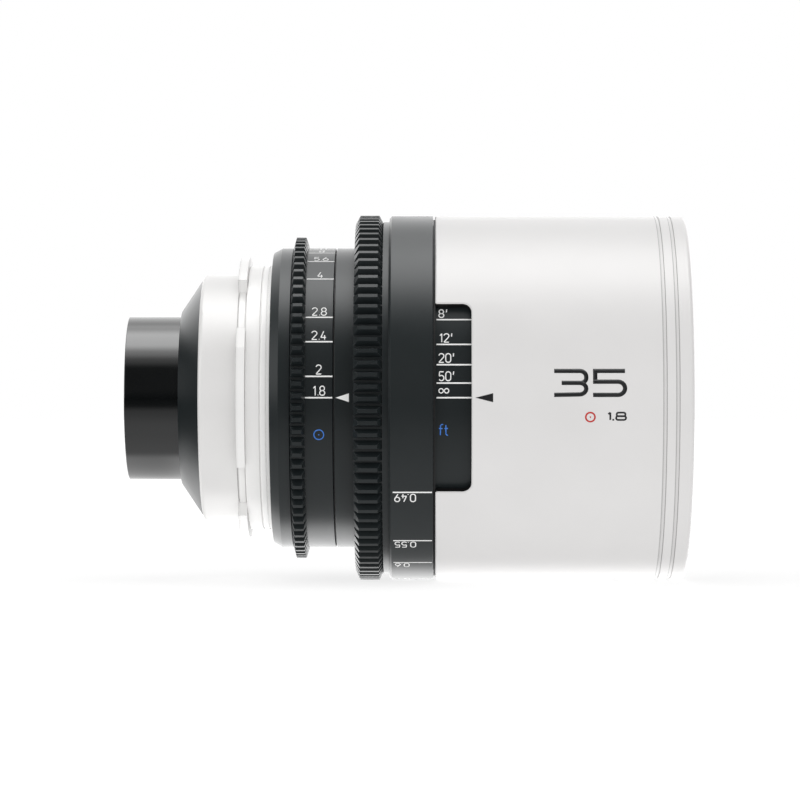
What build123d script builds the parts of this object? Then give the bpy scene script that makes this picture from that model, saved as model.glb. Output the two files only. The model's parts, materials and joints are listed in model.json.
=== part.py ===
from build123d import *
import math
import os

# Cinema prime lens with a 54 mm bayonet mount, an 80 mm front barrel, an iris ring and a focus ring.
# Frame: X is the optical axis and +X leaves the front of the lens. +Z is up. The near side, -Y, has
# the scales. The origin is the centre of the mount's reference plane, the wings' rear faces.
# Angles are degrees about the optical axis, from +Y over the top: 90 is up, 180 is the near side.
# Sizes are millimetres. Places along the axis, with names that start in at_, are summed from lengths.

# Fits and gaps that all pieces share, and the flat rim that each face of a glass element is held by
seat_fit = 0.02
running_fit = 0.05
slot_fit = 0.05
face_gap = 0.1
cut_overrun = 1.0
edge_break = 0.2
element_rim = 2.0

# Rear tube and the elements that it holds
rear_tube_length = 11.7
rear_tube_wall = 2.6
rear_tube_flange_thickness = 1.2
rear_ring_recess = 0.6
rear_ring_length = 1.6
rear_ring_lip = 1.8
field_element_edge = 3.6
field_element_rear_bulge = 0.5
field_element_front_bulge = 1.8
rear_group_step = 0.6
biconvex_element_edge = 4.5
biconvex_element_bulge = 1.6
biconvex_to_flange_plane = 9.0
meniscus_element_edge = 3.0
meniscus_element_rear_bulge = -1.6
meniscus_element_front_bulge = 0.9
inner_ring_recess = 0.7

# Bayonet mount
register_radius = 27.0
register_length = 8.3
register_edge = 0.9
register_wall = 3.0
register_cavity = 6.0
cone_length = 4.7
cone_rear_step = 1.2
cone_front_inset = 0.8
cone_spigot_length = 3.3
wing_height = 3.8
wing_thickness = 1.9
wing_floor_step = 0.5
side_wing_half_angle = 29.7
side_wing_facet_angle = 20.4
side_wing_facet_drop = 0.5
upright_wing_half_angle = 34.3
relief_width = 0.25
relief_depth = 0.3
mount_base_step = 2.0
mount_base_length = 3.1
throat_gap = 0.5
shim_thickness = 0.2
shim_inset = 0.3
spacer_length = 2.0
spacer_groove_setback = 0.7
spacer_groove_width = 0.2
spacer_groove_depth = 0.2
mount_screw_count = 6
mount_screw_depth = 3.0

# Rear body, with the hub that the iris ring turns on
body_step = 7.1
body_rear_step = 1.0
body_cone_length = 1.9
body_length = 4.5
web_thickness = 3.8
hub_wall = 2.55

# Iris ring and its index ring
iris_ring_play = 0.1
iris_gear_length = 3.1
iris_gear_rear_bevel = 0.5
iris_gear_front_bevel = 0.6
iris_gear_stand = 2.4
iris_ring_wall = 3.8
iris_gear_teeth = 86
iris_gear_phase = 179.35
iris_scale_length = 6.0
iris_ring_travel = 90.0
thrust_washer_thickness = 0.15
thrust_washer_inset = 0.5
index_ring_length = 4.05

# Teeth of both gears
tooth_depth = 1.8
tooth_tip_width = 0.77
tooth_floor_width = 0.45

# Iris
blade_count = 10
blade_thickness = 0.1
blade_spacing = 0.15
blade_pivot_gap = 1.5
blade_width = 6.3
blade_heel_angle = -4.0
blade_tip_angle = 100.0
blade_closing_angle = 31.8
blade_ear_radius = 1.1
blade_root_radius = 2.4
pivot_setback = 5.5
pivot_pin_radius = 0.5
drive_arm = 7.0
drive_pin_setback = 4.7
drive_pin_radius = 0.4
drive_pin_reach = 1.2
iris_plate_inset = 0.2
iris_plate_thickness = 1.0
iris_plate_setback = 0.4
cam_ring_wall = 6.05
cam_ring_length = 4.25
cam_groove_depth = 1.5
cam_groove_steps = 12
stop_ring_length = 1.6
stop_ring_wall = 5.5
drive_screw_radius = 1.0
drive_screw_setback = 2.75
drive_screw_bite = 3.0
drive_screw_sink = 0.5
drive_screw_angles = (90.0, 270.0)

# Focus ring, with its gear, scale sleeve and cam sleeve
focus_gear_length = 6.1
focus_gear_rear_bevel = 1.0
focus_gear_front_bevel = 1.0
focus_gear_stand = 0.1
focus_gear_teeth = 98
focus_gear_phase = 180.36
focus_neck_step = 1.3
focus_neck_length = 1.3
focus_grip_length = 9.5
focus_grip_bevel = 0.5
focus_lip_thickness = 1.4
focus_ring_travel = 150.0
scale_sleeve_wall = 2.48
scale_sleeve_seat = 7.1
scale_sleeve_flange = 1.3
cam_sleeve_wall = 2.45
cam_slot_margin = 0.2
focus_washer_thickness = 0.5
sleeve_screw_count = 6
sleeve_screw_depth = 3.2

# Guide barrel, the fixed backbone inside the focus ring
guide_wall = 2.0
guide_rear_flange = 2.5
guide_front_flange = 4.0
body_screw_count = 6
body_screw_depth = 3.5

# Relay cell, fixed in front of the iris
relay_setback = 0.2
relay_flange_thickness = 1.2
relay_floor = 1.2
relay_floor_lip = 1.5
relay_wall = 6.5
relay_element_edge = 3.6
relay_element_rear_bulge = -1.2
relay_element_front_bulge = 1.3
relay_ring_length = 1.6

# Focus cell, which slides inside the guide barrel
focus_travel = 3.0
focus_cell_setback = 1.2
focus_cell_length = 17.0
focus_cell_floor = 1.5
focus_cell_lip = 2.0
focus_cell_relief = 0.4
focus_cell_land = 4.0
focus_cell_wall = 6.0
focus_rear_element_edge = 4.0
focus_rear_element_rear_bulge = 1.2
focus_rear_element_front_bulge = 1.8
focus_front_element_edge = 3.5
focus_front_element_rear_bulge = -2.2
focus_front_element_front_bulge = -1.0
focus_cell_ring_length = 1.8
focus_cell_ring_recess = 1.2
roller_radius = 2.0
roller_setback = 8.5
roller_sink = 0.6
roller_top_gap = 0.2
roller_counterbore_depth = 1.4
roller_spot_gap = 0.4
roller_screw_bite = 3.0
roller_angles = (90.0, 270.0)

# Front barrel, front ring and window
barrel_radius = 40.0
barrel_wall = 1.7
window_gap = 0.3
barrel_seam = 0.45
barrel_length = 48.45
barrel_edge = 0.35
window_length = 7.65
window_half_angle = 30.0
window_corner_radius = 2.0
window_edge = 0.25
groove_width = 0.8
groove_depth = 0.3
front_ring_length = 6.1
front_ring_spigot = 3.6
front_ring_spigot_wall = 1.7
front_ring_edge = 0.9
second_groove_setback = 2.7
filter_thread_wall = 1.9
filter_thread_length = 4.5
barrel_screw_setback = 5.2
barrel_screw_angles = (84.0, 264.0, 354.0)
barrel_screw_sink = 0.35

# Front cell and its elements
front_cell_rear_flange = 3.0
front_cell_front_flange = 6.9
front_cell_inset = 3.1
front_cell_floor = 1.5
front_cell_floor_lip = 1.5
cell_screw_count = 6
cell_screw_depth = 1.8
third_element_step = 5.0
third_element_edge = 4.5
third_element_rear_bulge = 1.4
third_element_front_bulge = 2.0
third_ring_length = 2.0
second_element_step = 5.5
second_element_edge = 4.5
second_element_rear_bulge = -2.5
second_element_front_bulge = 2.6
second_element_gap_share = 0.25
front_element_wall = 2.2
front_element_edge = 5.0
front_element_rear_bulge = -5.0
front_element_front_bulge = 4.4
bezel_flare_gap = 0.05
bezel_lip = 2.0
bezel_rim = 1.3
bezel_thread_length = 2.4
ring_lip = 1.8
spacer_wall = 1.4
spanner_slot_width = 1.2
spanner_slot_depth = 0.7

# Screws: head radius, head height, shank radius, and a grub screw's radius
large_head_radius = 1.9
large_head_height = 1.3
large_shank_radius = 1.25
small_head_radius = 1.2
small_head_height = 1.1
small_shank_radius = 0.8
fine_head_radius = 1.1
fine_head_height = 0.8
fine_shank_radius = 0.6
shoulder_head_radius = 1.6
shoulder_head_height = 1.0
shoulder_shank_radius = 1.0
grub_radius = 0.9
socket_share = 0.5
socket_sides = 6
index_screw_angles = (0.0, 90.0, 270.0)

# Places along the optical axis, from the mount to the front
at_cone_front = -register_length
at_cone_rear = at_cone_front - cone_length
at_tube_rear = at_cone_rear - rear_tube_length
at_wing_front = wing_thickness
at_base_front = at_wing_front + mount_base_length
at_shim_front = at_base_front + shim_thickness
at_body_rear = at_shim_front + spacer_length
at_web_front = at_body_rear + web_thickness
at_cell_flange_front = at_web_front + rear_tube_flange_thickness
at_iris_rear = at_body_rear + body_length
at_iris_plate = at_cell_flange_front + iris_plate_setback
at_blades = at_iris_plate + iris_plate_thickness
at_cam_ring = at_blades + (blade_count + 1) * blade_spacing
at_cam_ring_front = at_cam_ring + cam_ring_length
at_stop_ring_front = at_cam_ring_front + face_gap + stop_ring_length
at_iris_gear_front = at_iris_rear + iris_gear_length
at_iris_front = at_iris_gear_front + iris_scale_length
at_washer = at_iris_front + iris_ring_play
at_index_rear = at_washer + thrust_washer_thickness
at_index_front = at_index_rear + index_ring_length
at_guide_flange_front = at_index_front + guide_rear_flange
at_relay_rear = at_stop_ring_front + relay_setback
at_relay_front = at_guide_flange_front + relay_flange_thickness
at_focus_rear = at_index_front + face_gap
at_focus_gear_front = at_focus_rear + focus_gear_length
at_focus_grip = at_focus_gear_front + focus_neck_length
at_focus_front = at_focus_grip + focus_grip_length
at_lip_front = at_focus_rear + focus_lip_thickness
at_barrel_rear = at_focus_front + barrel_seam
at_window_front = at_barrel_rear + window_length
at_barrel_front = at_barrel_rear + barrel_length
at_front = at_barrel_front + front_ring_length
at_filter_seat = at_front - filter_thread_length
at_focus_cell = at_relay_front + focus_cell_setback
at_roller = at_focus_cell + roller_setback
at_cam_slot_end = at_roller + focus_travel
at_focus_cell_front = at_focus_cell + focus_cell_length
at_sleeve_flange = at_focus_cell_front + focus_travel + cam_slot_margin
at_sleeve_front = at_sleeve_flange + scale_sleeve_flange
at_focus_washer = at_sleeve_front + face_gap
at_guide_tube_front = at_focus_washer + focus_washer_thickness
at_guide_front = at_guide_tube_front + guide_front_flange
at_ring_spigot = at_barrel_front - front_ring_spigot
at_cell_front = at_ring_spigot - face_gap
at_front_element = at_cell_front - bezel_thread_length - front_element_edge
at_third_element = at_guide_front + front_cell_floor
at_third_ring_front = at_third_element + third_element_edge + third_ring_length
front_cell_slack = at_front_element - at_third_ring_front - second_element_edge
at_second_element = at_third_ring_front + front_cell_slack * second_element_gap_share

# Radii of the mount end, from the register inwards and outwards
register_bore_radius = register_radius - register_wall
rear_tube_radius = register_bore_radius - register_cavity
field_element_radius = rear_tube_radius - rear_tube_wall
biconvex_element_radius = field_element_radius - rear_group_step
cone_rear_radius = rear_tube_radius + cone_rear_step
cone_front_radius = register_radius - cone_front_inset
wing_radius = register_radius + wing_height
wing_floor_radius = register_radius + wing_floor_step
mount_base_radius = register_radius + mount_base_step
mount_screw_circle = (rear_tube_radius + register_bore_radius) / 2

# Radii around the focus ring and the barrel, from the outside inwards
barrel_bore_radius = barrel_radius - barrel_wall
barrel_seat_radius = barrel_bore_radius - seat_fit
focus_grip_radius = barrel_radius
focus_neck_radius = focus_grip_radius - focus_neck_step
focus_gear_tip_radius = focus_grip_radius + focus_gear_stand
focus_gear_root_radius = focus_gear_tip_radius - tooth_depth
scale_sleeve_radius = barrel_bore_radius - window_gap
cam_sleeve_radius = scale_sleeve_radius - scale_sleeve_wall - seat_fit
cam_sleeve_bore_radius = cam_sleeve_radius - cam_sleeve_wall
sleeve_screw_circle = (cam_sleeve_radius + cam_sleeve_bore_radius) / 2
guide_radius = cam_sleeve_bore_radius - running_fit
guide_bore_radius = guide_radius - guide_wall
focus_element_radius = guide_bore_radius - focus_cell_wall
front_ring_spigot_radius = barrel_bore_radius - front_ring_spigot_wall
filter_thread_radius = barrel_radius - filter_thread_wall
front_cell_radius = barrel_bore_radius - front_cell_inset
cell_screw_circle = (front_cell_radius + barrel_seat_radius) / 2
front_element_radius = front_cell_radius - front_element_wall
second_element_radius = front_element_radius - second_element_step
third_element_radius = second_element_radius - third_element_step

# Radii of the rear body and the iris, from the outside inwards
body_radius = barrel_radius - body_step
body_rear_radius = body_radius - body_rear_step
iris_gear_tip_radius = body_radius + iris_gear_stand
iris_gear_root_radius = iris_gear_tip_radius - tooth_depth
hub_radius = body_radius - iris_ring_wall - running_fit
hub_bore_radius = hub_radius - hub_wall
body_screw_circle = (hub_radius + hub_bore_radius) / 2
rear_tube_flange_radius = (rear_tube_radius + hub_bore_radius) / 2
iris_plate_rim_radius = (rear_tube_flange_radius + hub_bore_radius) / 2
relay_element_radius = hub_bore_radius - relay_wall
pivot_circle = hub_bore_radius - pivot_setback
drive_circle_open = hub_bore_radius - drive_pin_setback
blade_outer_radius = pivot_circle - blade_pivot_gap
blade_inner_radius = blade_outer_radius - blade_width
iris_plate_opening = blade_inner_radius + iris_plate_inset
cam_ring_radius = hub_bore_radius - running_fit
cam_ring_inner_radius = cam_ring_radius - cam_ring_wall

# Places of the screws that point across the axis
drive_screw_place = at_cam_ring + drive_screw_setback
index_screw_place = (at_index_rear + at_index_front) / 2
barrel_screw_place = at_cell_front - barrel_screw_setback
front_cell_screw_bite = (barrel_seat_radius - front_cell_radius) / 2


def polar(radius, angle):
    """Point in a plane square to the axis, at a radius and an angle about it."""
    return (radius * math.cos(math.radians(angle)), radius * math.sin(math.radians(angle)))


def spaced(count, start=0.0):
    """Angles of pieces set evenly about the axis."""
    return [start + 360 * step / count for step in range(count)]


def turned(shape, angle):
    """Copy of a shape turned about the optical axis."""
    return Rot(X=angle) * shape


def lathe(*corners):
    """Ring turned about the axis. A corner is (place, radius) or (place, radius, rounding)."""
    outline = make_face(Polyline(*[corner[:2] for corner in corners], close=True))
    for place, radius, *rounding in corners:
        if rounding:
            nearest = outline.vertices().sort_by_distance((place, radius, 0))[0]
            outline = fillet(nearest, rounding[0])
    return revolve(outline, axis=Axis.X)


def sleeve(rear, front, inner, outer):
    """Plain ring between two places and two radii."""
    return lathe((rear, inner), (rear, outer), (front, outer), (front, inner))


def sector(rear, front, inner, outer, start, arc):
    """Part of a plain ring, from one angle over an arc."""
    outline = make_face(Polyline((rear, inner), (rear, outer), (front, outer), (front, inner), close=True))
    return turned(revolve(outline, axis=Axis.X, revolution_arc=arc), start)


def radial_pin(place, angle, inner, outer, radius):
    """Cylinder that points straight out from the axis."""
    bottom = (Align.CENTER, Align.CENTER, Align.MIN)
    stand = Plane(origin=(place, inner, 0), x_dir=(1, 0, 0), z_dir=(0, 1, 0))
    return turned(stand * Cylinder(radius, outer - inner, align=bottom), angle)


def axial_pin(rear, front, circle, angle, radius):
    """Cylinder along the axis, off centre on a circle."""
    bottom = (Align.CENTER, Align.CENTER, Align.MIN)
    stand = Plane(origin=(rear, *polar(circle, angle)), z_dir=(1, 0, 0))
    return stand * Cylinder(radius, front - rear, align=bottom)


def arc_slot(place, inner, outer, radius, start, arc):
    """Cutter for a slot that runs round the axis, with round ends."""
    middle = sector(place - radius, place + radius, inner, outer, start, arc)
    ends = [radial_pin(place, angle, inner, outer, radius) for angle in (start, start + arc)]
    return middle + ends


def long_slot(rear, front, inner, outer, radius, angle):
    """Cutter for a slot that runs along the axis, with round ends."""
    corner = (Align.MIN, Align.MIN, Align.CENTER)
    middle = Pos(rear, inner, 0) * Box(front - rear, outer - inner, radius * 2, align=corner)
    ends = [radial_pin(place, angle, inner, outer, radius) for place in (rear, front)]
    return turned(middle, angle) + ends


def screw(head_radius, head_height, shank_radius, shank_length):
    """Socket head screw with the seat of its head at zero and its shank below."""
    bottom = (Align.CENTER, Align.CENTER, Align.MIN)
    top = (Align.CENTER, Align.CENTER, Align.MAX)
    body = Cylinder(head_radius, head_height, align=bottom) + Cylinder(shank_radius, shank_length, align=top)
    socket_floor = head_height * socket_share
    hexagon = RegularPolygon(head_radius * socket_share, socket_sides)
    socket = Pos(0, 0, socket_floor) * extrude(hexagon, head_height)
    return body - socket


def grub_screw(radius, length):
    """Headless screw from zero up, with a hexagon socket in its top."""
    body = Cylinder(radius, length, align=(Align.CENTER, Align.CENTER, Align.MIN))
    hexagon = RegularPolygon(radius * socket_share, socket_sides)
    socket = Pos(0, 0, length * socket_share) * extrude(hexagon, length)
    return body - socket


def set_along(piece, place, circle, angle, facing):
    """Screw set along the axis at a seat, its head facing +1 to the front or -1 to the mount."""
    return Plane(origin=(place, *polar(circle, angle)), z_dir=(facing, 0, 0)) * piece


def set_across(piece, place, radius, angle):
    """Screw set square to the axis with its zero at a radius, its head facing outwards."""
    return turned(Plane(origin=(place, radius, 0), x_dir=(1, 0, 0), z_dir=(0, 1, 0)) * piece, angle)


def group(pieces):
    """Several separate solids that share one file."""
    return Compound([solid for piece in pieces for solid in piece.solids()])


def element(rear, edge_radius, edge, rear_bulge, front_bulge):
    """Glass element. A bulge is how far a face stands out on the axis, or dips where it is negative."""
    front = rear + edge
    clear = edge_radius - element_rim
    rear_face = TangentArc((rear - rear_bulge, 0), (rear, clear), tangent=(0, 1))
    front_face = TangentArc((front + front_bulge, 0), (front, clear), tangent=(0, 1))
    rim = Polyline((rear, clear), (rear, edge_radius), (front, edge_radius), (front, clear))
    middle = Line((rear - rear_bulge, 0), (front + front_bulge, 0))
    return revolve(make_face([rear_face, rim, front_face, middle]), axis=Axis.X)


def lock_ring(rear, front, inner, outer, facing):
    """Threaded ring that holds an element, with two spanner slots in the face that it shows."""
    ring = sleeve(rear, front, inner, outer)
    face = front if facing > 0 else rear
    slot = Pos(face, 0, 0) * Box(spanner_slot_depth * 2, outer * 2, spanner_slot_width)
    return ring - (slot & sleeve(rear - cut_overrun, front + cut_overrun, 0, outer - spanner_slot_depth))


def toothed(blank, rear, front, tip_radius, root_radius, teeth, phase):
    """A turned blank with straight teeth cut into its rim."""
    pitch = 360 / teeth
    tip_half = math.degrees(tooth_tip_width / 2 / tip_radius)
    root_half = pitch / 2 - math.degrees(tooth_floor_width / 2 / root_radius)
    outline = []
    for centre in spaced(teeth, phase):
        outline += [polar(root_radius, centre - root_half), polar(tip_radius, centre - tip_half)]
        outline += [polar(tip_radius, centre + tip_half), polar(root_radius, centre + root_half)]
    profile = make_face(Polyline(*outline, close=True))
    return blank & extrude(Plane.YZ.offset(rear) * profile, front - rear)


def rear_cell():
    """Black tube that stands into the camera and carries the rear group."""
    rear_seat = at_tube_rear + rear_ring_recess + rear_ring_length + field_element_edge
    front_seat = -biconvex_to_flange_plane
    stop_radius = field_element_radius - rear_ring_lip
    return lathe(
        (at_tube_rear, field_element_radius + seat_fit), (at_tube_rear, rear_tube_radius, edge_break),
        (at_web_front, rear_tube_radius), (at_web_front, rear_tube_flange_radius),
        (at_cell_flange_front, rear_tube_flange_radius),
        (at_cell_flange_front, biconvex_element_radius + seat_fit),
        (front_seat, biconvex_element_radius + seat_fit), (front_seat, stop_radius),
        (rear_seat, stop_radius), (rear_seat, field_element_radius + seat_fit))


def rear_retaining_ring():
    rear = at_tube_rear + rear_ring_recess
    return lock_ring(rear, rear + rear_ring_length, field_element_radius - rear_ring_lip,
                     field_element_radius, -1)


def field_element():
    rear = at_tube_rear + rear_ring_recess + rear_ring_length
    return element(rear, field_element_radius, field_element_edge,
                   field_element_rear_bulge, field_element_front_bulge)


def rear_biconvex_element():
    return element(-biconvex_to_flange_plane, biconvex_element_radius, biconvex_element_edge,
                   biconvex_element_bulge, biconvex_element_bulge)


def meniscus_place():
    return at_cell_flange_front - inner_ring_recess - rear_ring_length - meniscus_element_edge


def rear_spacer():
    rear = -biconvex_to_flange_plane + biconvex_element_edge
    return sleeve(rear, meniscus_place(), biconvex_element_radius - spacer_wall, biconvex_element_radius)


def rear_meniscus_element():
    return element(meniscus_place(), biconvex_element_radius, meniscus_element_edge,
                   meniscus_element_rear_bulge, meniscus_element_front_bulge)


def inner_retaining_ring():
    rear = meniscus_place() + meniscus_element_edge
    return lock_ring(rear, rear + rear_ring_length, biconvex_element_radius - ring_lip,
                     biconvex_element_radius, 1)


def rear_cone_cap():
    """Black cone between the rear tube and the mount, screwed into the mount by its spigot."""
    bore = rear_tube_radius + seat_fit
    spigot = register_bore_radius - seat_fit
    spigot_front = at_cone_front + cone_spigot_length
    return lathe(
        (at_cone_rear, bore), (at_cone_rear, cone_rear_radius), (at_cone_front, cone_front_radius),
        (at_cone_front, spigot), (spigot_front, spigot), (spigot_front, bore))


def side_wing():
    """Wing of the near or far side, whose outer face falls away flat near both ends."""
    end_radius = wing_radius - side_wing_facet_drop
    foot = register_radius - cut_overrun
    outer = [polar(wing_radius, angle) for angle in (-side_wing_facet_angle, 0, side_wing_facet_angle)]
    upper = Polyline(outer[2], polar(end_radius, side_wing_half_angle), polar(foot, side_wing_half_angle))
    lower = Polyline(outer[0], polar(end_radius, -side_wing_half_angle), polar(foot, -side_wing_half_angle))
    base = ThreePointArc(upper @ 1, polar(foot, 0), lower @ 1)
    outline = make_face([ThreePointArc(*outer), upper, lower, base])
    return extrude(Plane.YZ * outline, wing_thickness)


def pl_mount():
    """Steel bayonet mount: the register that enters the camera, four wings, and a base with a floor."""
    throat = rear_tube_radius + throat_gap
    tube = lathe(
        (at_cone_front, register_bore_radius), (at_cone_front, register_radius, register_edge),
        (0, register_radius), (0, register_radius - relief_depth),
        (relief_width, register_radius - relief_depth), (relief_width, wing_floor_radius),
        (at_wing_front - relief_width, wing_floor_radius),
        (at_wing_front - relief_width, wing_floor_radius - relief_depth),
        (at_wing_front, wing_floor_radius - relief_depth),
        (at_wing_front, mount_base_radius, edge_break), (at_base_front, mount_base_radius, edge_break),
        (at_base_front, throat), (at_wing_front, throat), (at_wing_front, register_bore_radius))
    arc = upright_wing_half_angle * 2
    foot = register_radius - cut_overrun
    for centre in (90, 270):
        tube += sector(0, wing_thickness, foot, wing_radius, centre - upright_wing_half_angle, arc)
    for centre in (0, 180):
        tube += turned(side_wing(), centre)
    return tube - mount_screw_holes(at_wing_front, at_base_front)


def mount_screw_holes(rear, front):
    radius = large_shank_radius + seat_fit
    return [axial_pin(rear - cut_overrun, front + cut_overrun, mount_screw_circle, angle, radius)
            for angle in spaced(mount_screw_count)]


def mount_shim():
    """Thin ring that sets the distance from the mount to the film plane."""
    ring = sleeve(at_base_front, at_shim_front, rear_tube_radius + throat_gap, mount_base_radius - shim_inset)
    return ring - mount_screw_holes(at_base_front, at_shim_front)


def mount_spacer_ring():
    groove_front = at_body_rear - spacer_groove_setback
    groove_rear = groove_front - spacer_groove_width
    floor = mount_base_radius - spacer_groove_depth
    throat = rear_tube_radius + throat_gap
    ring = lathe(
        (at_shim_front, throat), (at_shim_front, mount_base_radius, edge_break),
        (groove_rear, mount_base_radius), (groove_rear, floor), (groove_front, floor),
        (groove_front, mount_base_radius), (at_body_rear, mount_base_radius), (at_body_rear, throat))
    return ring - mount_screw_holes(at_shim_front, at_body_rear)


def mount_screws():
    length = at_body_rear + mount_screw_depth - at_wing_front
    piece = screw(large_head_radius, large_head_height, large_shank_radius, length)
    return group([set_along(piece, at_wing_front, mount_screw_circle, angle, -1)
                  for angle in spaced(mount_screw_count)])


def rear_body():
    """Black body behind the iris ring, with the hub that the iris ring turns on."""
    collar_front = at_iris_rear - iris_ring_play
    bore = rear_tube_radius + seat_fit
    body = lathe(
        (at_body_rear, bore), (at_body_rear, body_rear_radius, edge_break),
        (at_body_rear + body_cone_length, body_radius), (collar_front, body_radius, edge_break),
        (collar_front, hub_radius), (at_index_front, hub_radius), (at_index_front, hub_bore_radius),
        (at_web_front, hub_bore_radius), (at_web_front, bore))
    hole_front = at_body_rear + mount_screw_depth
    mount_holes = [axial_pin(at_body_rear - cut_overrun, hole_front, mount_screw_circle, angle,
                             large_shank_radius + seat_fit) for angle in spaced(mount_screw_count)]
    slots = [arc_slot(drive_screw_place, hub_bore_radius - cut_overrun, hub_radius + cut_overrun,
                      drive_screw_radius + slot_fit * 2, angle, iris_ring_travel)
             for angle in drive_screw_angles]
    body_holes = [axial_pin(at_index_front - body_screw_depth, at_index_front + cut_overrun,
                            body_screw_circle, angle, small_shank_radius + seat_fit)
                  for angle in spaced(body_screw_count)]
    return body - mount_holes - slots - body_holes


def iris_base_plate():
    """Plate with the pivot holes of the iris blades."""
    rim_radius = hub_bore_radius - seat_fit
    plate = lathe(
        (at_iris_plate, iris_plate_opening), (at_iris_plate, iris_plate_rim_radius),
        (at_web_front, iris_plate_rim_radius), (at_web_front, rim_radius),
        (at_blades, rim_radius), (at_blades, iris_plate_opening))
    holes = [axial_pin(at_iris_plate - cut_overrun, at_blades + cut_overrun, pivot_circle, angle,
                       pivot_pin_radius + running_fit) for angle in spaced(blade_count)]
    return plate - holes


def drive_pin_at(closing):
    """Where the first blade's drive pin lies, for a closing angle of that blade."""
    swing = pivot_circle ** 2 + drive_circle_open ** 2 - drive_arm ** 2
    swing = swing / (2 * pivot_circle * drive_circle_open)
    open_y, open_z = polar(drive_circle_open, -math.degrees(math.acos(swing)))
    turn = math.radians(closing)
    arm_y, arm_z = open_y - pivot_circle, open_z
    return (pivot_circle + arm_y * math.cos(turn) - arm_z * math.sin(turn),
            arm_y * math.sin(turn) + arm_z * math.cos(turn))


def iris_blade(number):
    """One blade with its pivot pin and drive pin. Each blade lies in a plane of its own."""
    tip, heel = blade_tip_angle, blade_heel_angle
    middle = (tip + heel) / 2
    outer = ThreePointArc(*[polar(blade_outer_radius, angle) for angle in (heel, middle, tip)])
    inner = ThreePointArc(*[polar(blade_inner_radius, angle) for angle in (heel, middle, tip)])
    ends = [Line(inner @ 0, outer @ 0), Line(inner @ 1, outer @ 1)]
    band = make_face([outer, inner, *ends])
    pivot = Pos(pivot_circle, 0) * Circle(blade_ear_radius)
    drive = Pos(*drive_pin_at(0)) * Circle(blade_ear_radius)
    root = Pos((blade_inner_radius + blade_outer_radius) / 2, 0) * Circle(blade_root_radius)
    tail = make_hull(pivot.edges() + drive.edges())
    ear = make_hull(pivot.edges() + root.edges())
    rear = at_blades + blade_spacing * (number + 1) - blade_thickness
    sheet = extrude(Plane.YZ.offset(rear) * (band + tail + ear), blade_thickness)
    pivot_pin = axial_pin(at_iris_plate, rear, pivot_circle, 0, pivot_pin_radius)
    stand = Plane(origin=(rear + blade_thickness, *drive_pin_at(0)), z_dir=(1, 0, 0))
    reach = at_cam_ring + drive_pin_reach - rear - blade_thickness
    drive_pin = stand * Cylinder(drive_pin_radius, reach, align=(Align.CENTER, Align.CENTER, Align.MIN))
    return turned(sheet + pivot_pin + drive_pin, 360 * number / blade_count)


def iris_cam_ring():
    """Ring whose curved grooves swing the blades. A groove follows the drive pin in the ring's frame."""
    ring = sleeve(at_cam_ring, at_cam_ring_front, cam_ring_inner_radius, cam_ring_radius)
    path = []
    for step in range(cam_groove_steps + 1):
        done = step / cam_groove_steps
        y, z = drive_pin_at(blade_closing_angle * done)
        path.append(polar(math.hypot(y, z), math.degrees(math.atan2(z, y)) - iris_ring_travel * done))
    width = (drive_pin_radius + slot_fit) * 2
    ends = [Pos(*place) * Circle(width / 2) for place in (path[0], path[-1])]
    outline = trace(Spline(*path), width) + ends
    groove = extrude(Plane.YZ.offset(at_cam_ring) * outline, cam_groove_depth, both=True)
    grooves = [turned(groove, angle) for angle in spaced(blade_count)]
    holes = [radial_pin(drive_screw_place, angle, cam_ring_radius - drive_screw_bite,
                        cam_ring_radius + cut_overrun, drive_screw_radius + seat_fit)
             for angle in drive_screw_angles]
    return ring - grooves - holes


def iris_stop_ring():
    """Ring screwed into the hub that keeps the cam ring in place."""
    outer = hub_bore_radius - seat_fit
    return lock_ring(at_cam_ring_front + face_gap, at_stop_ring_front, outer - stop_ring_wall, outer, 1)


def iris_ring():
    """Iris ring: a gear for a lens motor and the surface with the aperture scale."""
    bore = hub_radius + running_fit
    blank = lathe(
        (at_iris_rear, bore), (at_iris_rear, iris_gear_root_radius),
        (at_iris_rear + iris_gear_rear_bevel, iris_gear_tip_radius),
        (at_iris_gear_front - iris_gear_front_bevel, iris_gear_tip_radius),
        (at_iris_gear_front, iris_gear_root_radius), (at_iris_gear_front, bore))
    gear = toothed(blank, at_iris_rear, at_iris_gear_front, iris_gear_tip_radius, iris_gear_root_radius,
                   iris_gear_teeth, iris_gear_phase)
    scale = lathe(
        (at_iris_gear_front, bore), (at_iris_gear_front, body_radius),
        (at_iris_front, body_radius, edge_break), (at_iris_front, bore))
    holes = [radial_pin(drive_screw_place, angle, bore - cut_overrun, body_radius + cut_overrun,
                        drive_screw_radius + seat_fit) for angle in drive_screw_angles]
    return gear + scale - holes


def iris_drive_screws():
    inner = cam_ring_radius - drive_screw_bite
    piece = grub_screw(drive_screw_radius, body_radius - drive_screw_sink - inner)
    return group([set_across(piece, drive_screw_place, inner, angle) for angle in drive_screw_angles])


def iris_thrust_washer():
    """Dark washer in the groove between the iris ring and the index ring."""
    return sleeve(at_washer, at_index_rear, hub_radius + seat_fit, body_radius - thrust_washer_inset)


def index_ring():
    """Fixed ring that carries the index mark of the iris scale."""
    bore = hub_radius + seat_fit
    ring = lathe(
        (at_index_rear, bore), (at_index_rear, body_radius, edge_break),
        (at_index_front, body_radius), (at_index_front, bore))
    holes = [radial_pin(index_screw_place, angle, bore - cut_overrun, body_radius + cut_overrun,
                        grub_radius + seat_fit) for angle in index_screw_angles]
    return ring - holes


def index_ring_screws():
    inner = hub_radius + seat_fit
    piece = grub_screw(grub_radius, body_radius - drive_screw_sink - inner)
    return group([set_across(piece, index_screw_place, inner, angle) for angle in index_screw_angles])


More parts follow.
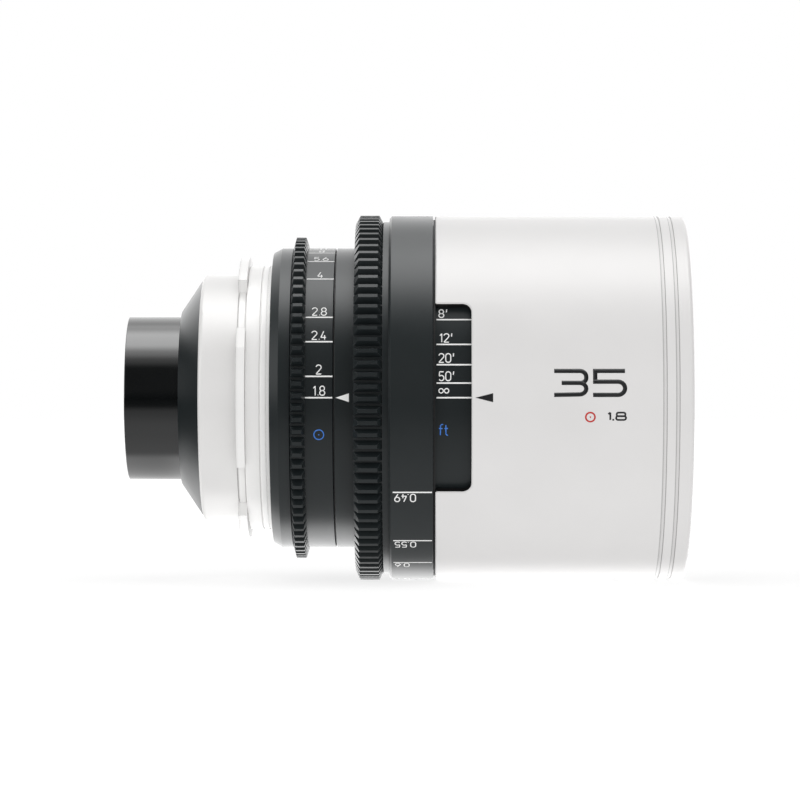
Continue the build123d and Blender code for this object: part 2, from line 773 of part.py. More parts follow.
def guide_barrel():
    """Fixed backbone inside the focus ring, with straight slots that guide the focus cell."""
    tube = lathe(
        (at_index_front, hub_bore_radius), (at_index_front, guide_radius),
        (at_guide_tube_front, guide_radius), (at_guide_tube_front, barrel_seat_radius),
        (at_guide_front, barrel_seat_radius), (at_guide_front, guide_bore_radius),
        (at_guide_flange_front, guide_bore_radius), (at_guide_flange_front, hub_bore_radius))
    slot_inner = guide_bore_radius - cut_overrun
    slot_outer = guide_radius + cut_overrun
    slots = [long_slot(at_roller, at_cam_slot_end, slot_inner, slot_outer, roller_radius + slot_fit, angle)
             for angle in roller_angles]
    seat = at_guide_flange_front - small_head_height
    screw_holes = []
    for angle in spaced(body_screw_count):
        screw_holes.append(axial_pin(at_index_front - cut_overrun, seat, body_screw_circle, angle,
                                     small_shank_radius + seat_fit))
        screw_holes.append(axial_pin(seat, at_guide_flange_front + cut_overrun, body_screw_circle, angle,
                                     small_head_radius + seat_fit))
    cell_holes = [axial_pin(at_guide_front - cell_screw_depth, at_guide_front + cut_overrun,
                            cell_screw_circle, angle, small_shank_radius + seat_fit)
                  for angle in spaced(cell_screw_count)]
    return tube - slots - screw_holes - cell_holes


def body_screws():
    """Screws that hold the guide barrel to the hub."""
    seat = at_guide_flange_front - small_head_height
    length = seat - at_index_front + body_screw_depth
    piece = screw(small_head_radius, small_head_height, small_shank_radius, length)
    return group([set_along(piece, seat, body_screw_circle, angle, 1) for angle in spaced(body_screw_count)])


def relay_cell():
    outer = hub_bore_radius - seat_fit
    seat = at_relay_rear + relay_floor
    bore = relay_element_radius + seat_fit
    return lathe(
        (at_relay_rear, relay_element_radius - relay_floor_lip), (at_relay_rear, outer),
        (at_guide_flange_front, outer), (at_guide_flange_front, guide_bore_radius - running_fit),
        (at_relay_front, guide_bore_radius - running_fit), (at_relay_front, bore), (seat, bore),
        (seat, relay_element_radius - relay_floor_lip))


def relay_element():
    return element(at_relay_rear + relay_floor, relay_element_radius, relay_element_edge,
                   relay_element_rear_bulge, relay_element_front_bulge)


def relay_retaining_ring():
    rear = at_relay_rear + relay_floor + relay_element_edge
    return lock_ring(rear, rear + relay_ring_length, relay_element_radius - ring_lip, relay_element_radius, 1)


def focus_ring():
    """Focus ring: a gear, a narrow neck and a plain grip band, over the cam sleeve."""
    lip_bore = guide_radius + running_fit
    cam_bore = cam_sleeve_radius + seat_fit
    sleeve_bore = scale_sleeve_radius + seat_fit
    sleeve_seat = at_focus_front - scale_sleeve_seat
    blank = lathe(
        (at_focus_rear, lip_bore), (at_focus_rear, focus_gear_root_radius),
        (at_focus_rear + focus_gear_rear_bevel, focus_gear_tip_radius),
        (at_focus_gear_front - focus_gear_front_bevel, focus_gear_tip_radius),
        (at_focus_gear_front, focus_gear_root_radius), (at_focus_gear_front, cam_bore),
        (at_lip_front, cam_bore), (at_lip_front, lip_bore))
    gear = toothed(blank, at_focus_rear, at_focus_gear_front, focus_gear_tip_radius, focus_gear_root_radius,
                   focus_gear_teeth, focus_gear_phase)
    grip = lathe(
        (at_focus_gear_front, cam_bore), (at_focus_gear_front, focus_neck_radius),
        (at_focus_grip, focus_neck_radius), (at_focus_grip, focus_grip_radius - focus_grip_bevel),
        (at_focus_grip + focus_grip_bevel, focus_grip_radius),
        (at_focus_front, focus_grip_radius, edge_break), (at_focus_front, sleeve_bore),
        (sleeve_seat, sleeve_bore), (sleeve_seat, cam_bore))
    return gear + grip


def focus_scale_sleeve():
    """Sleeve that carries the distance scale under the window, bolted to the cam sleeve."""
    rear = at_focus_front - scale_sleeve_seat
    bore = cam_sleeve_radius + seat_fit
    flange_bore = guide_radius + running_fit
    body = lathe(
        (rear, bore), (rear, scale_sleeve_radius), (at_sleeve_front, scale_sleeve_radius, edge_break),
        (at_sleeve_front, flange_bore), (at_sleeve_flange, flange_bore), (at_sleeve_flange, bore))
    holes = []
    for angle in spaced(sleeve_screw_count):
        seat = at_sleeve_front - fine_head_height
        holes.append(axial_pin(at_sleeve_flange - cut_overrun, seat, sleeve_screw_circle, angle,
                               fine_shank_radius + seat_fit))
        holes.append(axial_pin(seat, at_sleeve_front + cut_overrun, sleeve_screw_circle, angle,
                               fine_head_radius + seat_fit))
    return body - holes


def focus_cam_sleeve():
    """Sleeve with two curved slots that push the focus cell along as the ring turns."""
    body = sleeve(at_lip_front, at_sleeve_flange, cam_sleeve_bore_radius, cam_sleeve_radius)
    radius = roller_radius + slot_fit
    inner = cam_sleeve_bore_radius - cut_overrun
    outer = cam_sleeve_radius + cut_overrun
    middle = (cam_sleeve_bore_radius + cam_sleeve_radius) / 2
    pitch = focus_travel * 360 / focus_ring_travel
    for angle in roller_angles:
        frame = Plane(origin=(at_roller, 0, 0), x_dir=(0, *polar(1, angle)), z_dir=(1, 0, 0))
        path = frame * Helix(pitch, focus_travel, middle, lefthand=True)
        section = Plane(origin=path @ 0, x_dir=(0, *polar(1, angle)), z_dir=path % 0)
        body -= sweep(section * Rectangle(outer - inner, radius * 2), path=path, is_frenet=True)
        body -= radial_pin(at_roller, angle, inner, outer, radius)
        body -= radial_pin(at_cam_slot_end, angle - focus_ring_travel, inner, outer, radius)
    holes = [axial_pin(at_sleeve_flange - sleeve_screw_depth, at_sleeve_flange + cut_overrun,
                       sleeve_screw_circle, angle, fine_shank_radius + seat_fit)
             for angle in spaced(sleeve_screw_count)]
    return body - holes


def focus_sleeve_screws():
    seat = at_sleeve_front - fine_head_height
    length = seat - at_sleeve_flange + sleeve_screw_depth
    piece = screw(fine_head_radius, fine_head_height, fine_shank_radius, length)
    angles = spaced(sleeve_screw_count)
    return group([set_along(piece, seat, sleeve_screw_circle, angle, 1) for angle in angles])


def focus_thrust_washer():
    """Slippery washer between the turning sleeve and the fixed flange."""
    return sleeve(at_focus_washer, at_guide_tube_front, guide_radius + seat_fit, scale_sleeve_radius)


def focus_cell():
    """Cell that slides in the guide barrel. It bears on a land at each end."""
    land = guide_bore_radius - running_fit
    waist = land - focus_cell_relief
    bore = focus_element_radius + seat_fit
    seat = at_focus_cell + focus_cell_floor
    body = lathe(
        (at_focus_cell, focus_element_radius - focus_cell_lip), (at_focus_cell, land, edge_break),
        (at_focus_cell + focus_cell_land, land), (at_focus_cell + focus_cell_land, waist),
        (at_focus_cell_front - focus_cell_land, waist), (at_focus_cell_front - focus_cell_land, land),
        (at_focus_cell_front, land, edge_break), (at_focus_cell_front, bore), (seat, bore),
        (seat, focus_element_radius - focus_cell_lip))
    seat_radius = land - roller_sink
    spots = [radial_pin(at_roller, angle, seat_radius, land + cut_overrun, roller_radius + roller_spot_gap)
             for angle in roller_angles]
    holes = [radial_pin(at_roller, angle, seat_radius - roller_screw_bite, land + cut_overrun,
                        shoulder_shank_radius + seat_fit) for angle in roller_angles]
    return body - spots - holes


def focus_rear_element():
    return element(at_focus_cell + focus_cell_floor, focus_element_radius, focus_rear_element_edge,
                   focus_rear_element_rear_bulge, focus_rear_element_front_bulge)


def focus_front_element_place():
    ring = focus_cell_ring_length + focus_cell_ring_recess
    return at_focus_cell_front - ring - focus_front_element_edge


def focus_spacer():
    rear = at_focus_cell + focus_cell_floor + focus_rear_element_edge
    return sleeve(rear, focus_front_element_place(), focus_element_radius - spacer_wall, focus_element_radius)


def focus_front_element():
    return element(focus_front_element_place(), focus_element_radius, focus_front_element_edge,
                   focus_front_element_rear_bulge, focus_front_element_front_bulge)


def focus_retaining_ring():
    rear = focus_front_element_place() + focus_front_element_edge
    return lock_ring(rear, rear + focus_cell_ring_length, focus_element_radius - ring_lip,
                     focus_element_radius, 1)


def cam_rollers():
    """Brass rollers that run in the straight slots and the curved slots together."""
    inner = guide_bore_radius - running_fit - roller_sink
    outer = cam_sleeve_radius - roller_top_gap
    bottom = (Align.CENTER, Align.CENTER, Align.MIN)
    body = Cylinder(roller_radius, outer - inner, align=bottom)
    bore = Cylinder(shoulder_shank_radius + running_fit, outer - inner, align=bottom)
    sink = Pos(0, 0, outer - inner - roller_counterbore_depth)
    head_bore = sink * Cylinder(shoulder_head_radius + running_fit, outer - inner, align=bottom)
    return group([set_across(body - bore - head_bore, at_roller, inner, angle) for angle in roller_angles])


def roller_screws():
    inner = guide_bore_radius - running_fit - roller_sink
    seat = cam_sleeve_radius - roller_top_gap - roller_counterbore_depth
    piece = screw(shoulder_head_radius, shoulder_head_height, shoulder_shank_radius,
                  seat - inner + roller_screw_bite)
    return group([set_across(piece, at_roller, seat, angle) for angle in roller_angles])


def window_cutter():
    """Opening in the rear edge of the barrel, with two round inner corners."""
    inner = barrel_bore_radius - cut_overrun
    outer = barrel_radius + cut_overrun
    rear = at_barrel_rear - cut_overrun
    corner_place = at_window_front - window_corner_radius
    corner_angle = window_half_angle - math.degrees(window_corner_radius / barrel_radius)
    wide = sector(rear, corner_place, inner, outer, 180 - window_half_angle, window_half_angle * 2)
    deep = sector(rear, at_window_front, inner, outer, 180 - corner_angle, corner_angle * 2)
    corners = [radial_pin(corner_place, 180 + side * corner_angle, inner, outer, window_corner_radius)
               for side in (-1, 1)]
    return wide + deep + corners


def front_barrel():
    """Pale outer barrel in front of the focus ring, with the window over the distance scale."""
    step = barrel_radius - groove_depth
    groove = at_barrel_front - groove_width / 2
    body = lathe(
        (at_barrel_rear, barrel_bore_radius), (at_barrel_rear, barrel_radius, barrel_edge),
        (groove, barrel_radius), (groove, step), (at_barrel_front, step),
        (at_barrel_front, barrel_bore_radius))
    holes = [radial_pin(barrel_screw_place, angle, barrel_bore_radius - cut_overrun,
                        barrel_radius + cut_overrun, grub_radius + seat_fit) for angle in barrel_screw_angles]
    body = body - window_cutter()
    return chamfer(window_rim(body), window_edge) - holes


def window_rim(body):
    """Edges of the window on the barrel's outer face, clear of the rounded rear edge."""
    rim = []
    for edge in body.edges():
        middle = edge @ 0.5
        outside = math.isclose(math.hypot(middle.Y, middle.Z), barrel_radius, rel_tol=1e-4)
        near = middle.Y < 0 and at_barrel_rear + barrel_edge < middle.X < at_window_front + window_edge
        if outside and near:
            rim.append(edge)
    return rim


def front_barrel_screws():
    """Grub screws that hold the barrel on the front cell."""
    inner = barrel_seat_radius - front_cell_screw_bite
    piece = grub_screw(grub_radius, barrel_radius - barrel_screw_sink - inner)
    return group([set_across(piece, barrel_screw_place, inner, angle) for angle in barrel_screw_angles])


def front_ring():
    """Front rim with the filter thread, a groove at its seam and a second groove beside it."""
    step = barrel_radius - groove_depth
    seam = at_barrel_front + groove_width / 2
    second = at_barrel_front - groove_width / 2 + second_groove_setback
    return lathe(
        (at_ring_spigot, front_ring_spigot_radius), (at_ring_spigot, barrel_seat_radius),
        (at_barrel_front, barrel_seat_radius), (at_barrel_front, step), (seam, step),
        (seam, barrel_radius), (second, barrel_radius), (second, step),
        (second + groove_width, step), (second + groove_width, barrel_radius),
        (at_front, barrel_radius, front_ring_edge), (at_front, filter_thread_radius, edge_break),
        (at_filter_seat, filter_thread_radius), (at_filter_seat, front_ring_spigot_radius))


def front_cell():
    """Black cell with the three front elements, bolted to the guide barrel."""
    third_bore = third_element_radius + seat_fit
    second_bore = second_element_radius + seat_fit
    front_bore = front_element_radius + seat_fit
    floor_bore = third_element_radius - front_cell_floor_lip
    flange_front = at_guide_front + front_cell_rear_flange
    flange_rear = at_cell_front - front_cell_front_flange
    body = lathe(
        (at_guide_front, floor_bore), (at_guide_front, barrel_seat_radius),
        (flange_front, barrel_seat_radius), (flange_front, front_cell_radius),
        (flange_rear, front_cell_radius), (flange_rear, barrel_seat_radius),
        (at_cell_front, barrel_seat_radius), (at_cell_front, front_bore),
        (at_front_element, front_bore), (at_front_element, second_bore),
        (at_second_element, second_bore), (at_second_element, third_bore),
        (at_third_element, third_bore), (at_third_element, floor_bore))
    bolt_holes = [axial_pin(at_guide_front - cut_overrun, flange_front + cut_overrun, cell_screw_circle,
                            angle, small_shank_radius + seat_fit) for angle in spaced(cell_screw_count)]
    grub_holes = [radial_pin(barrel_screw_place, angle, barrel_seat_radius - front_cell_screw_bite,
                             barrel_radius + cut_overrun, grub_radius + seat_fit)
                  for angle in barrel_screw_angles]
    return body - bolt_holes - grub_holes


def front_cell_screws():
    seat = at_guide_front + front_cell_rear_flange
    piece = screw(small_head_radius, small_head_height, small_shank_radius,
                  front_cell_rear_flange + cell_screw_depth)
    return group([set_along(piece, seat, cell_screw_circle, angle, 1) for angle in spaced(cell_screw_count)])


def third_element():
    return element(at_third_element, third_element_radius, third_element_edge,
                   third_element_rear_bulge, third_element_front_bulge)


def third_retaining_ring():
    rear = at_third_element + third_element_edge
    return lock_ring(rear, rear + third_ring_length, third_element_radius - ring_lip,
                     third_element_radius, 1)


def second_element():
    return element(at_second_element, second_element_radius, second_element_edge,
                   second_element_rear_bulge, second_element_front_bulge)


def front_spacer():
    rear = at_second_element + second_element_edge
    return sleeve(rear, at_front_element, second_element_radius - spacer_wall, second_element_radius)


def front_element():
    return element(at_front_element, front_element_radius, front_element_edge,
                   front_element_rear_bulge, front_element_front_bulge)


def front_bezel():
    """Black funnel that holds the front element and lines the front opening."""
    rear = at_front_element + front_element_edge
    flare = front_ring_spigot_radius - bezel_flare_gap
    return lathe(
        (rear, front_element_radius - bezel_lip), (rear, front_element_radius),
        (at_cell_front, front_element_radius), (at_cell_front, flare),
        (at_filter_seat, flare), (at_filter_seat, flare - bezel_rim))


pieces = {
    "rear_cell": rear_cell,
    "rear_retaining_ring": rear_retaining_ring,
    "field_element": field_element,
    "rear_biconvex_element": rear_biconvex_element,
    "rear_spacer": rear_spacer,
    "rear_meniscus_element": rear_meniscus_element,
    "inner_retaining_ring": inner_retaining_ring,
    "rear_cone_cap": rear_cone_cap,
    "pl_mount": pl_mount,
    "mount_shim": mount_shim,
    "mount_spacer_ring": mount_spacer_ring,
    "mount_screws": mount_screws,
    "rear_body": rear_body,
    "iris_base_plate": iris_base_plate,
    "iris_stop_ring": iris_stop_ring,
    "iris_thrust_washer": iris_thrust_washer,
    "index_ring": index_ring,
    "index_ring_screws": index_ring_screws,
    "guide_barrel": guide_barrel,
    "body_screws": body_screws,
    "relay_cell": relay_cell,
    "relay_element": relay_element,
    "relay_retaining_ring": relay_retaining_ring,
    "focus_thrust_washer": focus_thrust_washer,
    "front_barrel": front_barrel,
    "front_barrel_screws": front_barrel_screws,
    "front_ring": front_ring,
    "front_cell": front_cell,
    "front_cell_screws": front_cell_screws,
    "third_element": third_element,
    "third_retaining_ring": third_retaining_ring,
    "second_element": second_element,
    "front_spacer": front_spacer,
    "front_element": front_element,
    "front_bezel": front_bezel,
    "iris_ring": iris_ring,
    "iris_drive_screws": iris_drive_screws,
    "iris_cam_ring": iris_cam_ring,
    "focus_ring": focus_ring,
    "focus_scale_sleeve": focus_scale_sleeve,
    "focus_cam_sleeve": focus_cam_sleeve,
    "focus_sleeve_screws": focus_sleeve_screws,
    "focus_cell": focus_cell,
    "focus_rear_element": focus_rear_element,
    "focus_spacer": focus_spacer,
    "focus_front_element": focus_front_element,
    "focus_retaining_ring": focus_retaining_ring,
    "cam_rollers": cam_rollers,
    "roller_screws": roller_screws,
}

os.makedirs("parts", exist_ok=True)
for name, make in pieces.items():
    export_step(make(), f"parts/{name}.step")
for number in range(blade_count):
    export_step(iris_blade(number), f"parts/iris_blade_{number + 1:02d}.step")
print("wrote", len(pieces) + blade_count, "pieces")
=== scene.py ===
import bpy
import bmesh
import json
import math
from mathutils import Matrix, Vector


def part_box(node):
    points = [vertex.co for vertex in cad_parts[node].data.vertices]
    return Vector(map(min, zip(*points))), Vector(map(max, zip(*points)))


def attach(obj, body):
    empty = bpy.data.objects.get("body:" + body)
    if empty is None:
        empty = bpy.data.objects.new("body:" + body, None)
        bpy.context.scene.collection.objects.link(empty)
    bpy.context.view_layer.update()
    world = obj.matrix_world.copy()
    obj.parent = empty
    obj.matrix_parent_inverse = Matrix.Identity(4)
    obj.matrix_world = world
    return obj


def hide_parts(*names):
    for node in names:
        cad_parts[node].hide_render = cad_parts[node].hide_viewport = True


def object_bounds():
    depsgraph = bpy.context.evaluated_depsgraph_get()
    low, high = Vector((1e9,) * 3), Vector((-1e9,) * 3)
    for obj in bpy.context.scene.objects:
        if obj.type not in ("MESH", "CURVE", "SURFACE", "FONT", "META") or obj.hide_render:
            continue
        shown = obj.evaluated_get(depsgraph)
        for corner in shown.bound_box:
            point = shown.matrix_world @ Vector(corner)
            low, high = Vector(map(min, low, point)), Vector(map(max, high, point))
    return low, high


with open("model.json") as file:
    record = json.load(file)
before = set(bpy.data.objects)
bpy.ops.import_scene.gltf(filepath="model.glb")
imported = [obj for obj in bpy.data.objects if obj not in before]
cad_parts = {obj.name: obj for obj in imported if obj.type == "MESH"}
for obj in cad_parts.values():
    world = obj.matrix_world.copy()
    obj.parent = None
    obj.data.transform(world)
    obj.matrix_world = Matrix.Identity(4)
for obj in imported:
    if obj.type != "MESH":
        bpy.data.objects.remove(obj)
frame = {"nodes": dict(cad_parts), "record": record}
cad_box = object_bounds()

# %% [markdown]
# A cinema prime lens in its finishes. The CAD model gives every solid and every joint. This file gives
# them their anodising, steel, glass and paint, adds the marks that are engraved and filled on the rings,
# and lights the lens as a studio would. One unit is a metre, and X is the optical axis. The scales face
# the camera, which stands on the side of -Y.

mm = 0.001
nodes, record = frame["nodes"], frame["record"]
barrel_rear, barrel_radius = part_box("front_barrel")[0].x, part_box("front_barrel")[1].z
iris_rear, iris_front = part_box("iris_ring")[0].x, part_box("iris_ring")[1].x
index_rear, scale_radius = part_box("index_ring")[0].x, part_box("index_ring")[1].z
focus_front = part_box("focus_ring")[1].x
window_scale_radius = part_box("focus_scale_sleeve")[1].z
middle = ((cad_box[0].x + cad_box[1].x) / 2, 0.0, 0.0)
print("front barrel from", round(barrel_rear / mm, 2), "mm, radius", round(barrel_radius / mm, 2), "mm")


# %% [markdown]
# Finishes, painted marks and lights are all wired from nodes here. Each could be wired by hand in the
# node editor. A few small helpers do it instead, so that a whole recipe fits in a few lines: they add a
# node, fill its inputs with numbers or with other nodes' sockets, and hand back the result.

# %% Helpers for nodes
def wire(tree, node, values):
    """Sets a node's inputs to values, or links them where a value is another node's socket."""
    for name, value in values.items():
        if isinstance(value, bpy.types.NodeSocket):
            tree.links.new(value, node.inputs[name])
        else:
            node.inputs[name].default_value = value


def add(tree, kind, values=None, **settings):
    made = tree.nodes.new(kind)
    for name, value in settings.items():
        setattr(made, name, value)
    wire(tree, made, values or {})
    return made


def maths(tree, operation, *values):
    return add(tree, "ShaderNodeMath", dict(enumerate(values)), operation=operation).outputs[0]


def blend(tree, share, first, second):
    """A number that goes from the first to the second as a share goes from 0 to 1."""
    values = {"Factor": share, "A": first, "B": second}
    return add(tree, "ShaderNodeMix", values, data_type="FLOAT").outputs[0]


def mixed(tree, share, *colours):
    """The same for two colours, each a socket or a red, green and blue."""
    values = {"Factor": share}
    for index, colour in zip((6, 7), colours):
        values[index] = colour if isinstance(colour, bpy.types.NodeSocket) else (*colour, 1.0)
    return add(tree, "ShaderNodeMix", values, data_type="RGBA").outputs[2]


def spread(tree, value, low, high, start=0.3, end=0.7):
    """A number that goes from low to high as a value goes from start to end."""
    return add(tree, "ShaderNodeMapRange", {"Value": value, "From Min": start, "From Max": end,
                                            "To Min": low, "To Max": high}).outputs["Result"]


def course(tree, value, stops):
    """A number that follows a value through stops, each a value and the number there."""
    first, last = stops[0][0], stops[-1][0]
    highest = max(number for place, number in stops)
    ramp = add(tree, "ShaderNodeValToRGB", {"Fac": spread(tree, value, 0.0, 1.0, first, last)})
    ramp.color_ramp.interpolation = "EASE"
    elements = ramp.color_ramp.elements
    while len(elements) < len(stops):
        elements.new(0.5)
    for element, (place, number) in zip(elements, stops):
        element.position = (place - first) / (last - first)
    for element, (place, number) in zip(elements, stops):
        element.color = (number / highest, number / highest, number / highest, 1.0)
    return maths(tree, "MULTIPLY", ramp.outputs["Color"], highest)


def split(tree, vector):
    return add(tree, "ShaderNodeSeparateXYZ", {"Vector": vector}).outputs


def length_across(tree, vector):
    """Length of a vector without its part along the axis. For a place, that is its radius."""
    parts = split(tree, vector)
    across = add(tree, "ShaderNodeCombineXYZ", {"Y": parts["Y"], "Z": parts["Z"]}).outputs[0]
    return add(tree, "ShaderNodeVectorMath", {0: across}, operation="LENGTH").outputs["Value"]


print("node helpers ready")


# %% [markdown]
# A finish on a metal part is never one flat colour. Anodising takes up dye unevenly, blasting leaves a
# fine grain, turned faces keep the tool's rings, and handling polishes the edges. Painted image textures
# could show that. Nodes do it here, because they stay sharp at any distance. Patterns are read from
# Object coordinates, so they stay on the part when a ring turns. A number that is the same all over goes
# straight onto the shader's socket.

# %% Helpers for finishes
# Hairlines of painted shade and dirt at the edges of grooves: their width and their tone.
hairline_reach, groove_shade_and_dirt_tone = 0.09 * mm, (0.46, 0.455, 0.45)
black_within_radius = (0.012, 0.012, 0.0125)


def new_finish(name):
    material = bpy.data.materials.new(name)
    material.use_nodes = True
    tree = material.node_tree
    return material, tree, tree.nodes["Principled BSDF"]


def object_place(tree):
    return add(tree, "ShaderNodeTexCoord").outputs["Object"]


def noise(tree, place, scale, detail):
    return add(tree, "ShaderNodeTexNoise", {"Vector": place, "Scale": scale, "Detail": detail}).outputs["Fac"]


def turned_place(tree, place, rings_per_mm):
    """Coordinates that change along the axis and outwards, but not round it, as a lathe leaves them."""
    lathe = add(tree, "ShaderNodeCombineXYZ", {"X": split(tree, place)["X"], "Y": length_across(tree, place)})
    return add(tree, "ShaderNodeVectorMath", {0: lathe.outputs[0], "Scale": rings_per_mm / mm},
               operation="SCALE").outputs[0]


def edge_share(tree, width):
    """One at a sharp outer edge, zero on a plain face: how far a rounded edge would lean from the face."""
    rounded = add(tree, "ShaderNodeBevel", {"Radius": width}, samples=6)
    face = add(tree, "ShaderNodeNewGeometry")
    lean = add(tree, "ShaderNodeVectorMath", {0: rounded.outputs[0], 1: face.outputs["Normal"]},
               operation="DOT_PRODUCT")
    return spread(tree, lean.outputs["Value"], 1.0, 0.0, 0.86, 0.985)


def groove_shade_and_dirt_share(tree, place, line):
    """One on a dark hairline of painted shade and dirt at a groove's edge, which runs round the axis, zero
    beside it.
    """
    away = maths(tree, "ABSOLUTE", maths(tree, "SUBTRACT", split(tree, place)["X"], line))
    return maths(tree, "LESS_THAN", away, hairline_reach)


def finish(name, colour, second_colour, edge_wear_and_reflection=None, roughness=0.4, drift=0.05, metallic=0.0, ior=1.5,
           grain=5.0, rings=0.0, relief=0.003 * mm, edge=0.12 * mm, dark_inside=0.0, lines=()):
    """Metal, plastic or paint with two tones that drift into each other, a roughness that drifts with
    them, and edges of a tone of their own: paler where handling has worn them, darker where the tone is a
    painted reflection. It has a grain or turned rings, both per millimetre. Within a radius of the axis,
    dark_inside, it is black. A line is a place on the axis where a groove's edge runs round, drawn as a dark
    hairline of painted shade with a little dirt."""
    material, tree, shader = new_finish(name)
    place = object_place(tree)
    fine = (noise(tree, turned_place(tree, place, rings), 1.0, 2.0) if rings
            else noise(tree, place, grain / mm, 2.0))
    broad = noise(tree, place, 0.06 / mm, 4.0)
    tone = mixed(tree, spread(tree, broad, 0.0, 1.0), colour, second_colour)
    # Edges take a tone of their own: wear where it is paler, a painted reflection where it is darker.
    if edge_wear_and_reflection:
        tone = mixed(tree, edge_share(tree, edge), tone, edge_wear_and_reflection)
    # Dark hairlines at the grooves' edges: painted shade, with a little dirt.
    for line in lines:
        tone = mixed(tree, groove_shade_and_dirt_share(tree, place, line), tone, groove_shade_and_dirt_tone)
    # Within the radius the colour is black.
    if dark_inside:
        within = maths(tree, "LESS_THAN", length_across(tree, place), dark_inside)
        tone = mixed(tree, within, tone, black_within_radius)
    bump = add(tree, "ShaderNodeBump", {"Height": fine, "Strength": 0.5, "Distance": relief})
    wire(tree, shader, {"Base Color": tone, "Normal": bump.outputs[0], "Metallic": metallic, "IOR": ior,
                        "Roughness": spread(tree, broad, roughness - drift, roughness + drift)})
    return material


print("finish helpers ready")


# %% [markdown]
# The rings and the rear body are aluminium, blasted with fine beads and anodised black. A plain dark
# colour would read as plastic. The skin is dark and a little cool, with a satin sheen, and every turned
# edge has a thin paler line where handling has polished it. The rear tube is turned, not blasted, so it
# mirrors the studio more sharply.

# %% Black anodised aluminium
def satin_black():
    return finish("black_anodised_satin", (0.0125, 0.0165, 0.0178), (0.0155, 0.0197, 0.021),
                  (0.055, 0.058, 0.061), roughness=0.33, drift=0.03, ior=1.47, grain=6.0,
                  relief=0.006 * mm, edge=0.07 * mm)


def polished_black():
    return finish("black_anodised_turned", (0.0018, 0.0024, 0.0026), (0.0032, 0.004, 0.0044),
                  (0.06, 0.063, 0.066), roughness=0.13, drift=0.03, ior=1.8, rings=9.0,
                  relief=0.002 * mm)


black, tube_black = satin_black(), polished_black()
print("made", black.name, "and", tube_black.name)


# %% [markdown]
# Everything that light passes inside the lens is matt black, so that it throws nothing back: the cells,
# the spacers and the threaded rings that hold the glass. A high roughness does that, and a plain black
# would hide their edges, so these wear a little too.

# %% Matt black for the inside
def inner_black():
    return finish("matt_black_inside", (0.012, 0.012, 0.0125), (0.017, 0.017, 0.0175), (0.05, 0.05, 0.052),
                  roughness=0.62, drift=0.08, relief=0.012 * mm)


matt_black = inner_black()
print("made", matt_black.name)


# %% [markdown]
# The front barrel and its rim are pale: aluminium blasted very fine and anodised clear, which reads as
# pearl. The milky skin hides most of the metal, so the shader is only slightly metallic. Two tones that
# hardly differ keep the large plain face from looking like plastic. The grooves' edges are drawn as dark
# hairlines, since they are thinner than a pixel: painted shade, with a little dirt. Within a radius the
# colour is black, on the bore behind the grooves and on the walls of the window.

# %% Pale pearl anodised aluminium
def pearl_anodised(name, dark_inside, lines):
    return finish(name, (0.735, 0.726, 0.721), (0.757, 0.748, 0.743), (0.85, 0.85, 0.845),
                  roughness=0.32, drift=0.02, metallic=0.065, ior=1.18, grain=7.0, relief=0.004 * mm,
                  edge=0.09 * mm, dark_inside=dark_inside, lines=lines)


barrel_wall_seen, filter_thread_depth = 0.35 * mm, 1.85 * mm
seam, groove_width, second_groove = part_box("front_barrel")[1].x, 0.8 * mm, 2.3 * mm
pearl = pearl_anodised("pearl_anodised_barrel", barrel_radius - barrel_wall_seen,
                       [seam - groove_width / 2 - 0.05 * mm])
rim_pearl = pearl_anodised("pearl_anodised_rim", barrel_radius - filter_thread_depth,
                           [seam + groove_width / 2 - 0.1 * mm, seam + second_groove - 0.02 * mm,
                            seam + second_groove + groove_width - 0.1 * mm])
print("made", pearl.name, "and", rim_pearl.name)


# %% [markdown]
# The lathe leaves rings round the axis. They are drawn by a noise that changes along the axis and
# outwards only. The broken edges of the wings are painted darker than the faces, a painted reflection of
# the studio's black cards. From the wings forward the faces are painted paler: painted light where the
# black rear body shades them.

# %% Steel of the mount and its spacer
def turned_steel():
    # The darker edge tone is a painted reflection of the studio's black cards.
    material = finish("turned_mount_steel", (0.765, 0.758, 0.75), (0.79, 0.783, 0.775), (0.34, 0.34, 0.335),
                      roughness=0.36, drift=0.04, metallic=0.09, ior=1.3, rings=6.0, relief=0.0025 * mm,
                      edge=0.17 * mm)
    tree = material.node_tree
    colour = tree.nodes["Principled BSDF"].inputs["Base Color"]
    # Painted light: from the wings forward the faces are painted paler, where the black rear body shades
    # them.
    painted_light_share = spread(tree, split(tree, object_place(tree))["X"], 0.0, 0.6, 0.0, 0.6 * mm)
    tree.links.new(mixed(tree, painted_light_share, colour.links[0].from_socket, (0.97, 0.965, 0.955)), colour)
    return material


# Painted light: the spacer is painted far paler than the mount's steel, where the black rear body beside it
# shades it.
def spacer_steel_painted_pale():
    return finish("spacer_steel_painted_light", (0.95, 0.945, 0.935), (0.98, 0.975, 0.965), (0.6, 0.6, 0.59),
                  roughness=0.36, drift=0.04, metallic=0.05, rings=6.0, relief=0.002 * mm)


steel, spacer_steel = turned_steel(), spacer_steel_painted_pale()
print("made", steel.name, "and", spacer_steel.name)


# %% [markdown]
# The small parts inside have finishes of their own: the brass of the cam rollers, the black oxide of the
# screws, the dry coating of the blades and the slippery plastic of the washers. They are hardly seen, so
# they could share one grey. Each has its own all the same, for whoever takes the lens apart.

# %% Brass, screws, blades and washers
def turned_brass():
    return finish("turned_brass", (0.62, 0.46, 0.2), (0.7, 0.54, 0.26), (0.85, 0.72, 0.42),
                  roughness=0.32, metallic=1.0, rings=7.0)


def oxide_steel():
    return finish("black_oxide_steel", (0.035, 0.035, 0.038), (0.06, 0.06, 0.062), (0.22, 0.22, 0.225),
                  roughness=0.36, drift=0.06, metallic=0.7, grain=9.0, relief=0.004 * mm)


